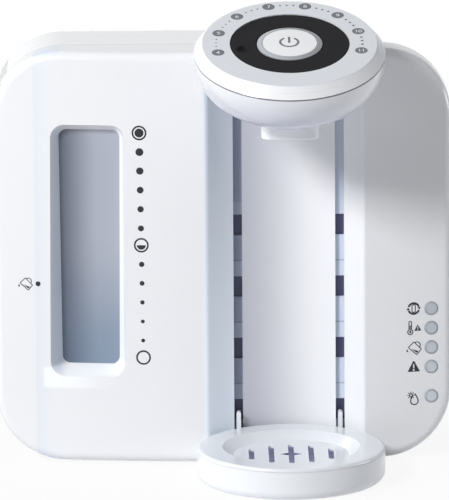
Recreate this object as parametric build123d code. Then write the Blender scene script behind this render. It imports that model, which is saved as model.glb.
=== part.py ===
from build123d import *
from math import cos, pi, radians, sin, sqrt, tan
import os

# Baby formula maker: a slab body with a convex leaning face, a bottle bay with an overhanging
# head and dial, a height-adjustable stand, and a water tank that lifts out of the rear.
# Millimetres; +Z up; the front looks towards -Y; the origin is on the table under the middle.

# ---------------------------------------------------------------- body
BODY_W = 290.0          # width of the slab
BODY_TOP = 265.0        # top of the slab above the table
BODY_DEPTH = 93.6       # face to rear
SHELL_BASE = 1.1        # underside of the front shell above the table
SHELL_DEPTH = 41.0      # front shell, face to parting line
CORNER_R = 44.0         # corners of the outline
EDGE_R = 6.0            # round between face and sides
WALL = 2.3              # moulded wall
FACE_R = 640.0          # plan radius of the convex face
FACE_LEAN = 1.8         # the face leans back, degrees
FIT = 0.3               # gap between parts that lie side by side

# ---------------------------------------------------------------- bottle bay and its grooves
AXIS_IN = 103.1         # axis of bay, head and stand, in from the right side
AXIS_REACH = 35.0       # that axis in front of the face
BAY_R = 62.4
MOUTH_R = 3.5           # rounded edge between bay and face
MOUTH_PROUD = 0.02      # the rounding tool ends this far in front of the face
GROOVE_X = 32.4         # each groove off the axis
GROOVE_W = 5.6
GROOVE_LOW = 10.0
GROOVE_TOP = 236.0
GROOVE_DEPTH = 4.6      # bay wall to rail
RAIL_T = 1.6
WINDOW_LOW = 24.5       # lowest ladder window in the rails
WINDOW_H = 13.4
WINDOW_PITCH = 39.9
WINDOW_COUNT = 4

# ---------------------------------------------------------------- window recess and pane
PANE_IN = 60.8          # middle of the pane, in from the left side
PANE_Z = 138.3
PANE_W = 37.8
PANE_H = 151.6
PANE_R = 5.0
PANE_DEPTH = 20.5       # middle of the pane behind the foot of the face
PANE_T = 2.5
PANE_LAP = 3.0
PANE_SPREAD = 0.6       # pane narrower a side at its foot, wider at its top
SPLAY = 0.52            # widening of the recess per unit of depth
SPLAY_R = 0.45          # growth of its corner radius per unit of depth
RECESS_REACH = 24.0
RECESS_WALL = 2.2

# ---------------------------------------------------------------- keys on the right
KEY_IN = 12.7           # keys in from the right side
KEY_TOP_Z = 97.7
KEY_PITCH = 12.6
LAST_KEY_GAP = 19.0
KEY_NAMES = ["filter", "temperature", "fill", "clean", "descale"]
KEY_R = 4.1
KEY_GAP = 0.3
KEY_PROUD = 0.5
KEY_TRAVEL = 0.8
KEY_FLANGE_R = 5.3
KEY_FLANGE_T = 1.0
KEY_STEM_R = 1.6
KEY_STEM_END = 5.8      # stem end behind the face
KEY_BOARD_Y = 9.6       # board behind the face
BOARD_T = 1.6
KEY_BOARD_W = 18.0
KEY_BOARD_MARGIN = 14.0

# ---------------------------------------------------------------- head and dial
DIAL_Z = 278.7          # centre of the dial above the table
DIAL_TILT = 19.0
HEAD_R = 59.6
RING_R = 54.4           # flat of the top ring, side to side
RING_R_DEEP = 53.6      # and front to back
RING_DROP = 6.6         # flat down to the seam
RING_T = 2.4
SEAM = 0.7
BOWL_DEPTH = 28.4       # seam to the bowl's flat bottom
BOWL_FLAT_R = 42.0
BOWL_WALL = 2.4
DIAL_R = 36.9
DIAL_GAP = 0.4
DIAL_T = 3.6
DIAL_SUNK = 0.3         # dial below the ring's flat
DIMPLE_R = 5.5
DIMPLE_AT = 29.6
DIMPLE_RISE = 3.3       # dimple's centre above the dial
DIMPLE_ANGLE = 192.3
FLOOR_Z = -4.3          # dial floor below the ring's flat
FLOOR_T = 1.8
SLEEVE_R = 22.6
SLEEVE_T = 1.7
SLEEVE_END = -9.4
LIGHT_R = 20.3
LIGHT_T = 3.2
LIGHT_RISE = 0.4
BUTTON_R = 16.9
BUTTON_RISE = 0.8
BUTTON_DOME = 0.4
BUTTON_T = 2.4
BUTTON_TRAVEL = 1.5
BUTTON_STEM_R = 3.0
DIAL_BOARD_Z = -12.2
DIAL_BOARD_R = 47.0
BOSS_R = 18.5
BOSS_BASE = 227.2
BOSS_FLARE_R = 37.0     # where the boss runs into the bowl
BOSS_FLARE_H = 11.0
NECK_BASE = 236.0
NECK_R = 57.0           # rounded underside of the neck
PASSAGE_R = 10.5        # way for hoses and wires into the head
NECK_IN = 2.0           # neck starts this far behind the foot of the face
NOZZLE_W = 36.0
NOZZLE_D = 26.0
NOZZLE_BASE = 220.3
NOZZLE_TOP = 229.6      # its corners stand up round the boss
NOZZLE_AHEAD = 2.0
NOZZLE_R = 6.5          # its upright corners
NOZZLE_EDGE_R = 1.2
SPOUT_R = 3.0
SPOUT_BORE = 2.0
SPOUT_X = 7.0
SPOUT_DROP = 2.0        # spouts below the nozzle block

# ---------------------------------------------------------------- stand
TRAY_R = 59.3
TRAY_TOP = 20.8
COVER_T = 2.3
TRAY_WALL = 2.2
TRAY_ROUND = 5.5
RECESS_R = 43.5
GRATE_R = 36.3
GRATE_DROP = 5.2
GRATE_T = 1.3
SLIT_W = 3.5
SLIT_PITCH = 12.55
SLIT_LENGTHS = [47.0, 42.3, 26.0]   # centre, next, outer
STAR_W = 15.2           # pointed cross slit
STAR_D = 8.2
PRONG_W = 2.8
PRONG_LOW = 12.0
PRONG_TOP = 30.4
PRONG_IN = 3.3          # prong inside the groove
PRONG_STAND = 2.0       # prong's front in front of the bay wall
ARM_H = 6.0

# ---------------------------------------------------------------- tank and lid
TANK_OFF = 27.9         # right side of the tank, left of the bay's axis
TANK_GAP = 0.5
TANK_INSET = 0.1        # tank inside the outline
TANK_BACK = 2.4         # tank's rear ahead of the body's rear
TANK_WALL = 2.5
TANK_EDGE_R = 3.2
TANK_BASE = 16.3
LID_Z = 247.0           # parting plane of tank and lid
LID_GAP = 0.3
HINGE_R = 2.4
HINGE_PIN_R = 1.0
HINGE_FIT = 0.06
HINGE_IN_LEFT = 50.0    # middle of the hinges, in from the tank's sides
HINGE_IN_RIGHT = 39.0
KNUCKLE = 7.0
FILTER_IN = 28.0        # filter and outlet, in from the tank's right side
FILTER_ROOM = 4.35      # filter housing to the tank's walls
FILTER_WALL = 2.0
FILTER_TOP = 150.0
CAP_H = 14.0
SPIGOT_R = 8.0
SPIGOT_BORE = 5.0
SPIGOT_END = 9.0
SOCKET_R = 12.5
SOCKET_GAP = 0.9
POPPET_R = 6.5
POPPET_T = 2.0
POPPET_STEM_R = 1.5
POPPET_TRAVEL = 3.0
GUIDE_Z = 28.0          # poppet guide plate in the filter housing
GUIDE_T = 2.0

# ---------------------------------------------------------------- base, feet, rear cover, inside
PLATE_Z = 4.2           # top of the base plate
PLATE_T = 3.0
PLATE_FRONT = 17.0      # its front edge behind the foot of the face
FOOT_R = 8.0
FOOT_H = 3.0
FOOT_FRONT = 27.0       # front feet behind the foot of the face
FOOT_REAR = 13.6        # rear feet ahead of the rear
FRAME_T = 2.4
COVER_INSET = 10.0      # rear cover inside the outline
COVER_R = 34.0
COVER_WALL = 2.4
VENT_COUNT = 8
VENT_PITCH = 7.0
VENT_W = 2.6
VENT_L = 46.0
GLAND_IN = 33.0         # bush in from the right side
GLAND_Z = 27.0
GLAND_R = 7.0
GLAND_BORE = 3.6
GLAND_L = 12.0
SCREW_R = 1.5
SCREW_HEAD_R = 3.0
SCREW_L = 9.0
BOILER_IN = 44.0        # boiler in from the right side
BOILER_ROOM = 1.9       # boiler to the rear cover's wall
BOILER_LOW = 60.0
BOILER_H = 86.0
BOILER_WALL = 1.5
PUMP_IN = 87.0          # pump in from the right side
PUMP_Z = 34.0
PUMP_R = 14.0
PUMP_L = 42.0
VALVE_SIZE = 18.0
VALVE_H = 26.0
VALVE_Z = 112.0
HOSE_R = 2.6
HOSE_BORE = 1.6
HOSE_BEND = 7.0
BOARD_IN = 61.0         # middle of the main board, in from the right side
BOARD_Z = 196.0
BOARD_HALF_W = 22.0     # to its screws
BOARD_HALF_H = 39.0
BOARD_STAND = 5.0       # board behind the mid frame
TRANSFORMER_X = -8.0    # place on the board
TRANSFORMER_Z = 16.0
TRANSFORMER_W = 30.0
TRANSFORMER_D = 22.0
TRANSFORMER_H = 26.0
RELAY_X = 10.0
RELAY_Z = -20.0
RELAY_W = 16.0
RELAY_CLEAR = 3.1       # relay to the hot hose behind it
RELAY_H = 20.0

# ---------------------------------------------------------------- worked-out places
FACE_Y = (AXIS_REACH + TRAY_R - BODY_DEPTH) / 2      # face foot, so that the origin is central
REAR_Y = FACE_Y + BODY_DEPTH
SHELL_BACK = FACE_Y + SHELL_DEPTH
AXIS_Y = FACE_Y - AXIS_REACH
TANK_FRONT = SHELL_BACK + TANK_GAP
TANK_REAR = REAR_Y - TANK_BACK
TANK_MID = (TANK_FRONT + TANK_REAR) / 2
INNER_Y = (SHELL_BACK + REAR_Y) / 2                   # middle plane of the works
AXIS_X = BODY_W / 2 - AXIS_IN
PANE_X = PANE_IN - BODY_W / 2
KEY_X = BODY_W / 2 - KEY_IN
TANK_RIGHT = AXIS_X - TANK_OFF
HINGE_XS = [HINGE_IN_LEFT - BODY_W / 2, TANK_RIGHT - HINGE_IN_RIGHT]
FILTER_X = TANK_RIGHT - FILTER_IN
FILTER_R = (TANK_REAR - TANK_FRONT) / 2 - TANK_WALL - FILTER_ROOM
PLATE_HALF_W = BODY_W / 2 - CORNER_R + PLATE_T
FOOT_XS = [CORNER_R + FOOT_R - BODY_W / 2, BODY_W / 2 - CORNER_R - FOOT_R]
FOOT_YS = [FOOT_FRONT, BODY_DEPTH - FOOT_REAR]
GLAND_X = BODY_W / 2 - GLAND_IN
BOILER_X = BODY_W / 2 - BOILER_IN
BOILER_R = (BODY_DEPTH - SHELL_DEPTH) / 2 - COVER_WALL - BOILER_ROOM
PUMP_X = BODY_W / 2 - PUMP_IN
BOARD_X = BODY_W / 2 - BOARD_IN
RELAY_D = INNER_Y - SHELL_BACK - BOARD_STAND - BOARD_T - HOSE_R - RELAY_CLEAR
HIGH = 4 * BODY_TOP                                   # longer than anything it cuts

LEAN = Pos(0, FACE_Y, 0) * Rot(-FACE_LEAN, 0, 0)
HEAD = Pos(AXIS_X, AXIS_Y, DIAL_Z) * Rot(DIAL_TILT, 0, 0)


def face_sag(x):
    """Set-back of the convex face at x, behind its middle."""
    return FACE_R - sqrt(FACE_R**2 - x**2)


def slab(x_low, x_high, y_low, y_high, z_low, z_high):
    """Box between two corners."""
    size = (x_high - x_low, y_high - y_low, z_high - z_low)
    middle = ((x_low + x_high) / 2, (y_low + y_high) / 2, (z_low + z_high) / 2)
    return Pos(*middle) * Box(*size)


def rod(radius, low, high, x=0.0, y=0.0):
    """Upright cylinder between two heights."""
    return Pos(x, y, (low + high) / 2) * Cylinder(radius, high - low)


def tube(outer, inner, low, high, x=0.0, y=0.0):
    """Upright ring between two heights."""
    return rod(outer, low, high, x, y) - rod(inner, low, high, x, y)


def turned(*corners):
    """Solid of revolution about Z from (radius, height) corners."""
    return revolve(Plane.XZ * make_face(Polyline(*corners, close=True)), Axis.Z)


def along_y(radius, y_low, y_high, x, z):
    """Cylinder along Y."""
    return Pos(x, (y_low + y_high) / 2, z) * Rot(90, 0, 0) * Cylinder(radius, y_high - y_low)


def along_x(radius, x_low, x_high, y, z):
    """Cylinder along X."""
    return Pos((x_low + x_high) / 2, y, z) * Rot(0, 90, 0) * Cylinder(radius, x_high - x_low)


def facing_plane(x, y, z):
    """Plane that looks towards the front, at a place."""
    return Plane(origin=(x, y, z), x_dir=(1, 0, 0), z_dir=(0, -1, 0))


# ---------------------------------------------------------------- body forms


def outline_prism(inset, y_front, y_back, drop=0.0):
    """The body's outline, its walls moved in by inset, as a prism along Y."""
    height = BODY_TOP - SHELL_BASE - 2 * inset
    middle = (BODY_TOP + SHELL_BASE) / 2 - drop
    outline = RectangleRounded(BODY_W - 2 * inset, height, CORNER_R - inset)
    return extrude(facing_plane(0, y_back, middle) * outline, y_back - y_front)


def behind_face(inset):
    """Everything behind the leaning convex face, moved in by inset."""
    return LEAN * Pos(0, FACE_R, 0) * Cylinder(FACE_R - inset, HIGH)


def front_block(inset, y_back):
    """The front of the slab as one solid, with its rounded front edge."""
    block = outline_prism(inset, FACE_Y - 1, y_back) & behind_face(inset)
    front = block.faces().sort_by(Axis.Y)[0]
    return fillet(front.edges(), EDGE_R - inset)


def bay_cylinder(radius):
    """Leaning cylinder on the bay's axis."""
    return LEAN * Pos(AXIS_X, -AXIS_REACH, 0) * Cylinder(radius, HIGH)


def bay_tool():
    """What the bay takes out of the slab: a cylinder with rounded mouth edges."""
    before = 2.5 * BAY_R
    ahead = Pos(AXIS_X, -AXIS_REACH) * Rectangle(before, before)
    ahead -= Pos(0, FACE_R) * Circle(FACE_R + MOUTH_PROUD)
    plan = ahead + Pos(AXIS_X, -AXIS_REACH) * Circle(BAY_R)
    centre = Vector(AXIS_X, -AXIS_REACH, 0)
    mouth = [v for v in plan.vertices() if abs((Vector(*v) - centre).length - BAY_R) < FIT / 10]
    return LEAN * Pos(0, 0, -BODY_TOP) * extrude(fillet(mouth, MOUTH_R), 3 * BODY_TOP)


PANE_TURN = 180 / pi * (PANE_X / FACE_R)
PANE = Pos(PANE_X, FACE_Y + PANE_DEPTH, PANE_Z) * Rot(0, 0, PANE_TURN)


def pane_outline(width, height, taper, radius):
    """Upright outline with rounded corners, wider at the top by taper a side."""
    top, low = width / 2 + taper, width / 2 - taper
    corners = [(-low, -height / 2), (low, -height / 2), (top, height / 2), (-top, height / 2)]
    outline = Polygon(*corners, align=None)
    return fillet(outline.vertices(), radius)


def recess_funnel(offset):
    """The window recess: even at the leaning face, upright at the pane, grown by offset."""
    grow = SPLAY * RECESS_REACH
    towards_front = Rot(90, 0, 0)
    back = pane_outline(PANE_W + 2 * offset, PANE_H + 2 * offset, PANE_SPREAD, PANE_R + offset)
    front = pane_outline(PANE_W + 2 * (offset + grow), PANE_H + 2 * (offset + grow), 0,
                         PANE_R + offset + SPLAY_R * RECESS_REACH)
    ahead = Pos(0, -RECESS_REACH, -PANE_SPREAD) * Rot(-FACE_LEAN, 0, 0)
    return PANE * loft([towards_front * back, ahead * towards_front * front])


def groove_y(offset):
    """Bay wall, or a face that far behind it, at the grooves in the leaning frame."""
    return -AXIS_REACH + sqrt(BAY_R**2 - GROOVE_X**2) + offset


def groove_xs():
    """The two grooves, left and right of the axis."""
    return [AXIS_X - GROOVE_X, AXIS_X + GROOVE_X]


def key_places():
    """Name and height of each key."""
    heights = [KEY_TOP_Z - i * KEY_PITCH for i in range(len(KEY_NAMES) - 1)]
    return list(zip(KEY_NAMES, heights + [heights[-1] - LAST_KEY_GAP]))


KEY_TURN = 180 / pi * (KEY_X / FACE_R)
KEYS = LEAN * Pos(KEY_X, face_sag(KEY_X), 0) * Rot(0, 0, KEY_TURN)


def frame_bosses():
    """Places of the screws between front shell and mid frame."""
    side = BODY_W / 2 - CORNER_R / 2
    low = SHELL_BASE + CORNER_R
    high = BODY_TOP - CORNER_R
    clear_of_keys = BODY_W / 2 - CORNER_R * 3 / 4
    beside_bay = AXIS_X - BAY_R - 2 * (WALL + SCREW_HEAD_R)
    return [(-side, low), (-side, high), (clear_of_keys, low / 2), (side, high),
            (beside_bay, low / 2)]


def front_shell():
    """White front moulding: face, sides, window recess, bay, grooves and key holes."""
    block = front_block(0, SHELL_BACK)
    cavity = front_block(WALL, SHELL_BACK + 1) - bay_cylinder(BAY_R + WALL)
    shell = block - cavity + (recess_funnel(RECESS_WALL) & block)
    for x, z in frame_bosses():
        boss_y = FACE_Y + face_sag(x) + z * tan(radians(FACE_LEAN)) + WALL / 2
        shell += along_y(SCREW_HEAD_R + WALL / 2, boss_y, SHELL_BACK - FRAME_T, x, z)
    shell -= recess_funnel(0) + bay_tool() + base_space(FIT)
    for x in groove_xs():
        cut = slab(x - GROOVE_W / 2, x + GROOVE_W / 2, groove_y(-GROOVE_W), groove_y(2 * WALL),
                   GROOVE_LOW, GROOVE_TOP)
        shell -= LEAN * cut
    for name, z in key_places():
        shell -= KEYS * along_y(KEY_R + KEY_GAP, -WALL, 2 * WALL, 0, z)
    for x, z in frame_bosses():
        shell -= along_y(SCREW_R, SHELL_BACK - SCREW_L, SHELL_BACK, x, z)
    for z in key_board_screws():
        post = along_y(SCREW_HEAD_R, WALL / 2, KEY_BOARD_Y, 0, z)
        shell += KEYS * (post - along_y(SCREW_R, KEY_BOARD_Y - SCREW_L / 2, KEY_BOARD_Y, 0, z))
    return shell - head_passage()


def window_pane():
    """Smoky pane at the back of the recess."""
    pane = RectangleRounded(PANE_W + 2 * PANE_LAP, PANE_H + 2 * PANE_LAP, PANE_R + PANE_LAP)
    return PANE * Pos(0, PANE_T, 0) * Rot(90, 0, 0) * extrude(pane, PANE_T)


def ladder_rails():
    """Two channels behind the grooves, each with its row of windows."""
    rails = []
    for x in groove_xs():
        half = GROOVE_W / 2
        low, high = GROOVE_LOW - RAIL_T, GROOVE_TOP + RAIL_T
        front = groove_y(GROOVE_DEPTH)
        rail = slab(x - half - RAIL_T, x + half + RAIL_T, groove_y(-WALL), front + RAIL_T,
                    low, high)
        rail -= slab(x - half, x + half, groove_y(-2 * WALL), front, GROOVE_LOW, GROOVE_TOP)
        for step in range(WINDOW_COUNT):
            sill = WINDOW_LOW + step * WINDOW_PITCH
            rail -= slab(x - half, x + half, front - 1, front + 2 * RAIL_T, sill, sill + WINDOW_H)
        rails.append(LEAN * rail - bay_cylinder(BAY_R + WALL + FIT / 10))
    return Compound(rails)


def mid_frame():
    """Plate that closes the back of the front shell and carries the works."""
    plate = outline_prism(WALL + FIT / 2, SHELL_BACK - FRAME_T, SHELL_BACK)
    light = RectangleRounded(PANE_W + 6 * PANE_LAP, PANE_H + 6 * PANE_LAP, PANE_R + PANE_LAP)
    plate -= extrude(facing_plane(PANE_X, SHELL_BACK + 1, PANE_Z) * light, FRAME_T + 2)
    for x, z in frame_bosses():
        plate -= along_y(SCREW_R + FIT / 3, SHELL_BACK - FRAME_T, SHELL_BACK, x, z)
        plate -= along_y(SCREW_HEAD_R + FIT, SHELL_BACK - FRAME_T / 2, SHELL_BACK, x, z)
    for x, z in cover_screw_places():
        plate -= along_y(SCREW_R, SHELL_BACK - FRAME_T, SHELL_BACK, x, z)
    for x, z in board_posts():
        plate += along_y(SCREW_HEAD_R, SHELL_BACK - FRAME_T / 2, board_y(), x, z)
        plate -= along_y(SCREW_R, SHELL_BACK, board_y(), x, z)
    plate -= slab(-BODY_W, BODY_W, FACE_Y, REAR_Y, 0, PLATE_Z + FIT / 3)
    return plate - head_passage()


def frame_screws():
    """Screws that hold the mid frame to the front shell."""
    seat = SHELL_BACK - FRAME_T / 2
    return Compound([
        along_y(SCREW_R, SHELL_BACK - SCREW_L + 1, seat, x, z)
        + along_y(SCREW_HEAD_R, seat, SHELL_BACK, x, z)
        for x, z in frame_bosses()
    ])


def passage_z():
    """Height of the way into the head."""
    return NECK_BASE + PASSAGE_R + BOWL_WALL / 2


def head_passage():
    """Opening for the hoses and wires between rear cover and head."""
    return along_y(PASSAGE_R, FACE_Y + SHELL_DEPTH / 2, SHELL_BACK + 1, AXIS_X, passage_z())


# ---------------------------------------------------------------- base and feet


def base_space(gap):
    """Room of the base plate between face, bay and rear, grown by a gap."""
    space = slab(-PLATE_HALF_W - gap, PLATE_HALF_W + gap, FACE_Y + PLATE_FRONT - gap,
                 REAR_Y - WALL + gap, PLATE_Z - PLATE_T - gap, PLATE_Z + gap)
    return space - bay_cylinder(BAY_R + WALL + FIT - gap)


def base_plate():
    """Grey plate that closes the bottom and carries dock, rear cover and feet."""
    plate = base_space(0)
    for x, y in foot_places():
        plate -= rod(FOOT_R + FIT, 0, FOOT_H - FIT, x, y)
    return plate


def foot_places():
    """Centres of the four feet."""
    return [(x, FACE_Y + y) for x in FOOT_XS for y in FOOT_YS]


def rubber_feet():
    """Four rubber feet let into the base plate."""
    return Compound([rod(FOOT_R, 0, FOOT_H - FIT, x, y) for x, y in foot_places()])


# ---------------------------------------------------------------- keys


def key_button(z):
    """Round key: cap through the shell, flange behind it and stem to its switch."""
    cap = along_y(KEY_R, -KEY_PROUD, WALL + FIT + KEY_FLANGE_T, 0, z)
    cap = fillet(cap.faces().sort_by(Axis.Y)[0].edges(), KEY_PROUD / 2)
    flange = along_y(KEY_FLANGE_R, WALL + FIT, WALL + FIT + KEY_FLANGE_T, 0, z)
    return KEYS * (cap + flange + along_y(KEY_STEM_R, WALL, KEY_STEM_END, 0, z))


def key_board_span():
    """Lowest and highest point of the key board."""
    heights = [z for name, z in key_places()]
    return min(heights) - KEY_BOARD_MARGIN, max(heights) + KEY_BOARD_MARGIN


def key_board_screws():
    """Heights of the key board's two posts."""
    low, high = key_board_span()
    return [low + SCREW_HEAD_R + 1, high - SCREW_HEAD_R - 1]


def key_board():
    """Circuit board behind the keys."""
    low, high = key_board_span()
    board = slab(-KEY_BOARD_W / 2, KEY_BOARD_W / 2, KEY_BOARD_Y, KEY_BOARD_Y + BOARD_T, low, high)
    for z in key_board_screws():
        board -= along_y(SCREW_R + FIT / 3, KEY_BOARD_Y - 1, KEY_BOARD_Y + 2 * BOARD_T, 0, z)
    return KEYS * board & outline_prism(WALL + FIT, FACE_Y, SHELL_BACK)


def board_screw():
    """Short screw with its head's underside at the origin and its shank along +Z."""
    return rod(SCREW_R, 0, SCREW_L / 2) + rod(SCREW_HEAD_R, -SCREW_R, 0)


def board_screws():
    """The short screws of key board, dial board and main board."""
    key_back = KEYS * Pos(0, KEY_BOARD_Y + BOARD_T, 0)
    dial_low = HEAD * Pos(0, 0, DIAL_BOARD_Z - BOARD_T)
    towards_front = Rot(90, 0, 0)
    screws = [key_back * Pos(0, 0, z) * towards_front * board_screw() for z in key_board_screws()]
    screws += [dial_low * Pos(x, y, 0) * board_screw() for x, y in board_pillars()]
    screws += [
        Pos(x, board_y() + BOARD_T, z) * towards_front * board_screw() for x, z in board_posts()
    ]
    return Compound(screws)


def key_switches():
    """One push switch on the board behind each key."""
    size = KEY_R
    top = KEY_STEM_END + KEY_TRAVEL + FIT / 3
    switches = []
    for name, z in key_places():
        body = slab(-size / 2, size / 2, top + FIT, KEY_BOARD_Y, z - size / 2, z + size / 2)
        switches.append(KEYS * (body + along_y(KEY_STEM_R, top, top + FIT + 1, 0, z)))
    return Compound(switches)


# ---------------------------------------------------------------- head


def bowl_form(inset):
    """The tilted bowl under the seam: flat bottom, elliptical side, moved in by inset."""
    top = -RING_DROP - SEAM
    bottom = -RING_DROP - BOWL_DEPTH + inset
    side = EllipticalCenterArc(
        (BOWL_FLAT_R - inset, -RING_DROP),
        HEAD_R - BOWL_FLAT_R,
        BOWL_DEPTH - inset,
        start_angle=270,
        arc_size=90,
    )
    edge = [
        Line((0, bottom), (BOWL_FLAT_R - inset, bottom)),
        side,
        Line((HEAD_R - inset, -RING_DROP), (0, -RING_DROP)),
        Line((0, -RING_DROP), (0, bottom)),
    ]
    solid = revolve(Plane.XZ * make_face(edge), Axis.Z)
    return HEAD * (solid - rod(2 * HEAD_R, top, -RING_DROP + 1))


def neck_form(inset):
    """Part of the bay's cylinder behind the face that joins the head to the body."""
    neck = bay_cylinder(BAY_R - FIT - inset)
    lean_back = BODY_TOP * tan(radians(FACE_LEAN))
    front = FACE_Y + NECK_IN + lean_back + inset
    neck &= slab(AXIS_X - BAY_R, AXIS_X + BAY_R, front, SHELL_BACK,
                 NECK_BASE, BODY_TOP - FIT - inset)
    return neck & along_y(NECK_R - inset, FACE_Y, SHELL_BACK, AXIS_X, NECK_BASE + NECK_R)


def boss_form(inset):
    """Round boss under the bowl, flaring upwards into it, moved in by inset."""
    foot, flare = BOSS_R - inset, BOSS_FLARE_R - inset
    low, rim = BOSS_BASE + inset, BOSS_BASE + BOSS_FLARE_H + inset
    high = DIAL_Z - BOWL_DEPTH - RING_DROP
    bulge = ((foot + flare) / 2 + BOWL_WALL / 2, (low + rim) / 2 - BOWL_WALL / 2)
    edge = [
        ThreePointArc((foot, low), bulge, (flare, rim)),
        Polyline((flare, rim), (flare, high), (0, high), (0, low), (foot, low)),
    ]
    return Pos(AXIS_X, AXIS_Y, 0) * revolve(Plane.XZ * make_face(edge), Axis.Z)


def neck_channel():
    """Way from the neck up into the bowl."""
    lean_back = BODY_TOP * tan(radians(FACE_LEAN))
    front = FACE_Y + NECK_IN + lean_back + BOWL_WALL
    half = SPOUT_X + HOSE_R + 2 * FIT
    return slab(AXIS_X - half, AXIS_X + half, front, front + 2 * HOSE_R + 2 * FIT,
                NECK_BASE + 2 * BOWL_WALL, DIAL_Z - 2 * HOSE_R)


def head_bowl():
    """Lower housing of the head, with the boss over the bottle and the neck."""
    outer = bowl_form(0) + neck_form(0) + boss_form(0)
    inner = bowl_form(BOWL_WALL) + HEAD * rod(HEAD_R - BOWL_WALL, -2 * RING_DROP, 0)
    way = neck_channel() & outer
    bowl = outer - inner - boss_form(BOWL_WALL) - neck_form(BOWL_WALL) - way
    for side in (-1, 1):
        bowl -= rod(SPOUT_R, BOSS_BASE - 1, DIAL_Z - BOWL_DEPTH, AXIS_X + side * SPOUT_X, AXIS_Y)
    return bowl - head_passage()


def head_ring():
    """Tilted top ring: printed flat, bevel, dial floor, skirt and board posts."""
    flat = Ellipse(RING_R, RING_R_DEEP)
    ring = loft([flat, Pos(0, 0, -RING_DROP) * Circle(HEAD_R)])
    well = DIAL_R + DIAL_GAP
    ring -= rod(well, -2 * RING_DROP, 1)
    ring -= rod(RING_R - RING_T, -2 * RING_DROP, -RING_T)
    ring += tube(well + RING_T, well, FLOOR_Z - FLOOR_T, -RING_T / 2)
    ring += tube(well + RING_T, SLEEVE_R + DIAL_GAP, FLOOR_Z - FLOOR_T, FLOOR_Z)
    skirt_r = HEAD_R - BOWL_WALL - DIAL_GAP
    ring += tube(skirt_r, skirt_r - RING_T, -1.5 * RING_DROP, -RING_DROP / 2)
    for x, y in board_pillars():
        ring += rod(SCREW_HEAD_R, DIAL_BOARD_Z, -RING_T / 2, x, y)
        ring -= rod(SCREW_R, DIAL_BOARD_Z, DIAL_BOARD_Z + SCREW_L / 2, x, y)
    return HEAD * ring


def board_pillars():
    """Three pillars under the ring that carry the dial board."""
    reach = DIAL_BOARD_R - SCREW_HEAD_R
    return [(reach * cos(radians(a)), reach * sin(radians(a))) for a in (90, 210, 330)]


def volume_dial():
    """Black rotating ring with its finger dimple and its sleeve."""
    top = -DIAL_SUNK
    dial = tube(DIAL_R, SLEEVE_R - SLEEVE_T, top - DIAL_T, top)
    dial = fillet(dial.edges().group_by(Axis.Z)[-1], DIAL_GAP)
    angle = radians(DIMPLE_ANGLE)
    dial -= Pos(DIMPLE_AT * cos(angle), DIMPLE_AT * sin(angle), top + DIMPLE_RISE) * Sphere(DIMPLE_R)
    return HEAD * (dial + tube(SLEEVE_R, SLEEVE_R - SLEEVE_T, SLEEVE_END, top - DIAL_T / 2))


def dial_clip():
    """Ring on the sleeve that keeps the dial down on its floor."""
    top = FLOOR_Z - FLOOR_T - FIT
    return HEAD * tube(SLEEVE_R + 2 * SLEEVE_T, SLEEVE_R, top - SLEEVE_T, top)


def light_ring():
    """Translucent ring round the start button, sloping up to it."""
    inner = LIGHT_R - LIGHT_T
    return HEAD * turned(
        (inner, DIAL_BOARD_Z), (LIGHT_R, DIAL_BOARD_Z), (LIGHT_R, -DIAL_SUNK),
        (inner + LIGHT_T / 4, LIGHT_RISE), (inner, LIGHT_RISE),
    )


def start_button():
    """White push button: domed cap, rim and stem."""
    edge = BUTTON_RISE - BUTTON_DOME
    low = edge - BUTTON_T
    rim = low - BUTTON_T
    rim_r = BUTTON_R - BUTTON_T / 2
    stem_end = DIAL_BOARD_Z + BUTTON_TRAVEL + BUTTON_T
    middle = (BUTTON_R / 2, edge + BUTTON_DOME * 3 / 4)
    profile = [
        ThreePointArc((0, BUTTON_RISE), middle, (BUTTON_R, edge)),
        Polyline((BUTTON_R, edge), (BUTTON_R, rim), (rim_r, rim), (rim_r, low),
                 (BUTTON_STEM_R, low), (BUTTON_STEM_R, stem_end), (0, stem_end), (0, BUTTON_RISE)),
    ]
    return HEAD * revolve(Plane.XZ * make_face(profile), Axis.Z)


def start_switch():
    """Push switch on the dial board under the button's stem."""
    top = DIAL_BOARD_Z + BUTTON_T - FIT
    body = Pos(0, 0, (DIAL_BOARD_Z + top - FIT) / 2) * Box(
        2 * BUTTON_STEM_R, 2 * BUTTON_STEM_R, top - FIT - DIAL_BOARD_Z)
    return HEAD * (body + rod(BUTTON_STEM_R / 2, DIAL_BOARD_Z, top))


def start_spring():
    """Return spring between the button's cap and the dial board."""
    wire = 0.5
    radius = BUTTON_STEM_R + 4 * wire
    low = DIAL_BOARD_Z + wire
    high = BUTTON_RISE - BUTTON_DOME - BUTTON_T - wire
    turns = [Pos(0, 0, low + (high - low) * i / 5) * Torus(radius, wire) for i in range(6)]
    return HEAD * Compound(turns)


def dial_board():
    """Round circuit board under the dial."""
    board = rod(DIAL_BOARD_R, DIAL_BOARD_Z - BOARD_T, DIAL_BOARD_Z)
    for x, y in board_pillars():
        board -= rod(SCREW_R + FIT / 3, DIAL_BOARD_Z - 2 * BOARD_T, DIAL_BOARD_Z + 1, x, y)
    return HEAD * board


def dial_sensor():
    """Pick-up on the dial board beside the sleeve."""
    near = SLEEVE_R + 2 * SLEEVE_T + 1
    return HEAD * slab(near, near + 2 * BUTTON_STEM_R, -BUTTON_STEM_R, BUTTON_STEM_R,
                       DIAL_BOARD_Z, FLOOR_Z - FLOOR_T - 1)


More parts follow.
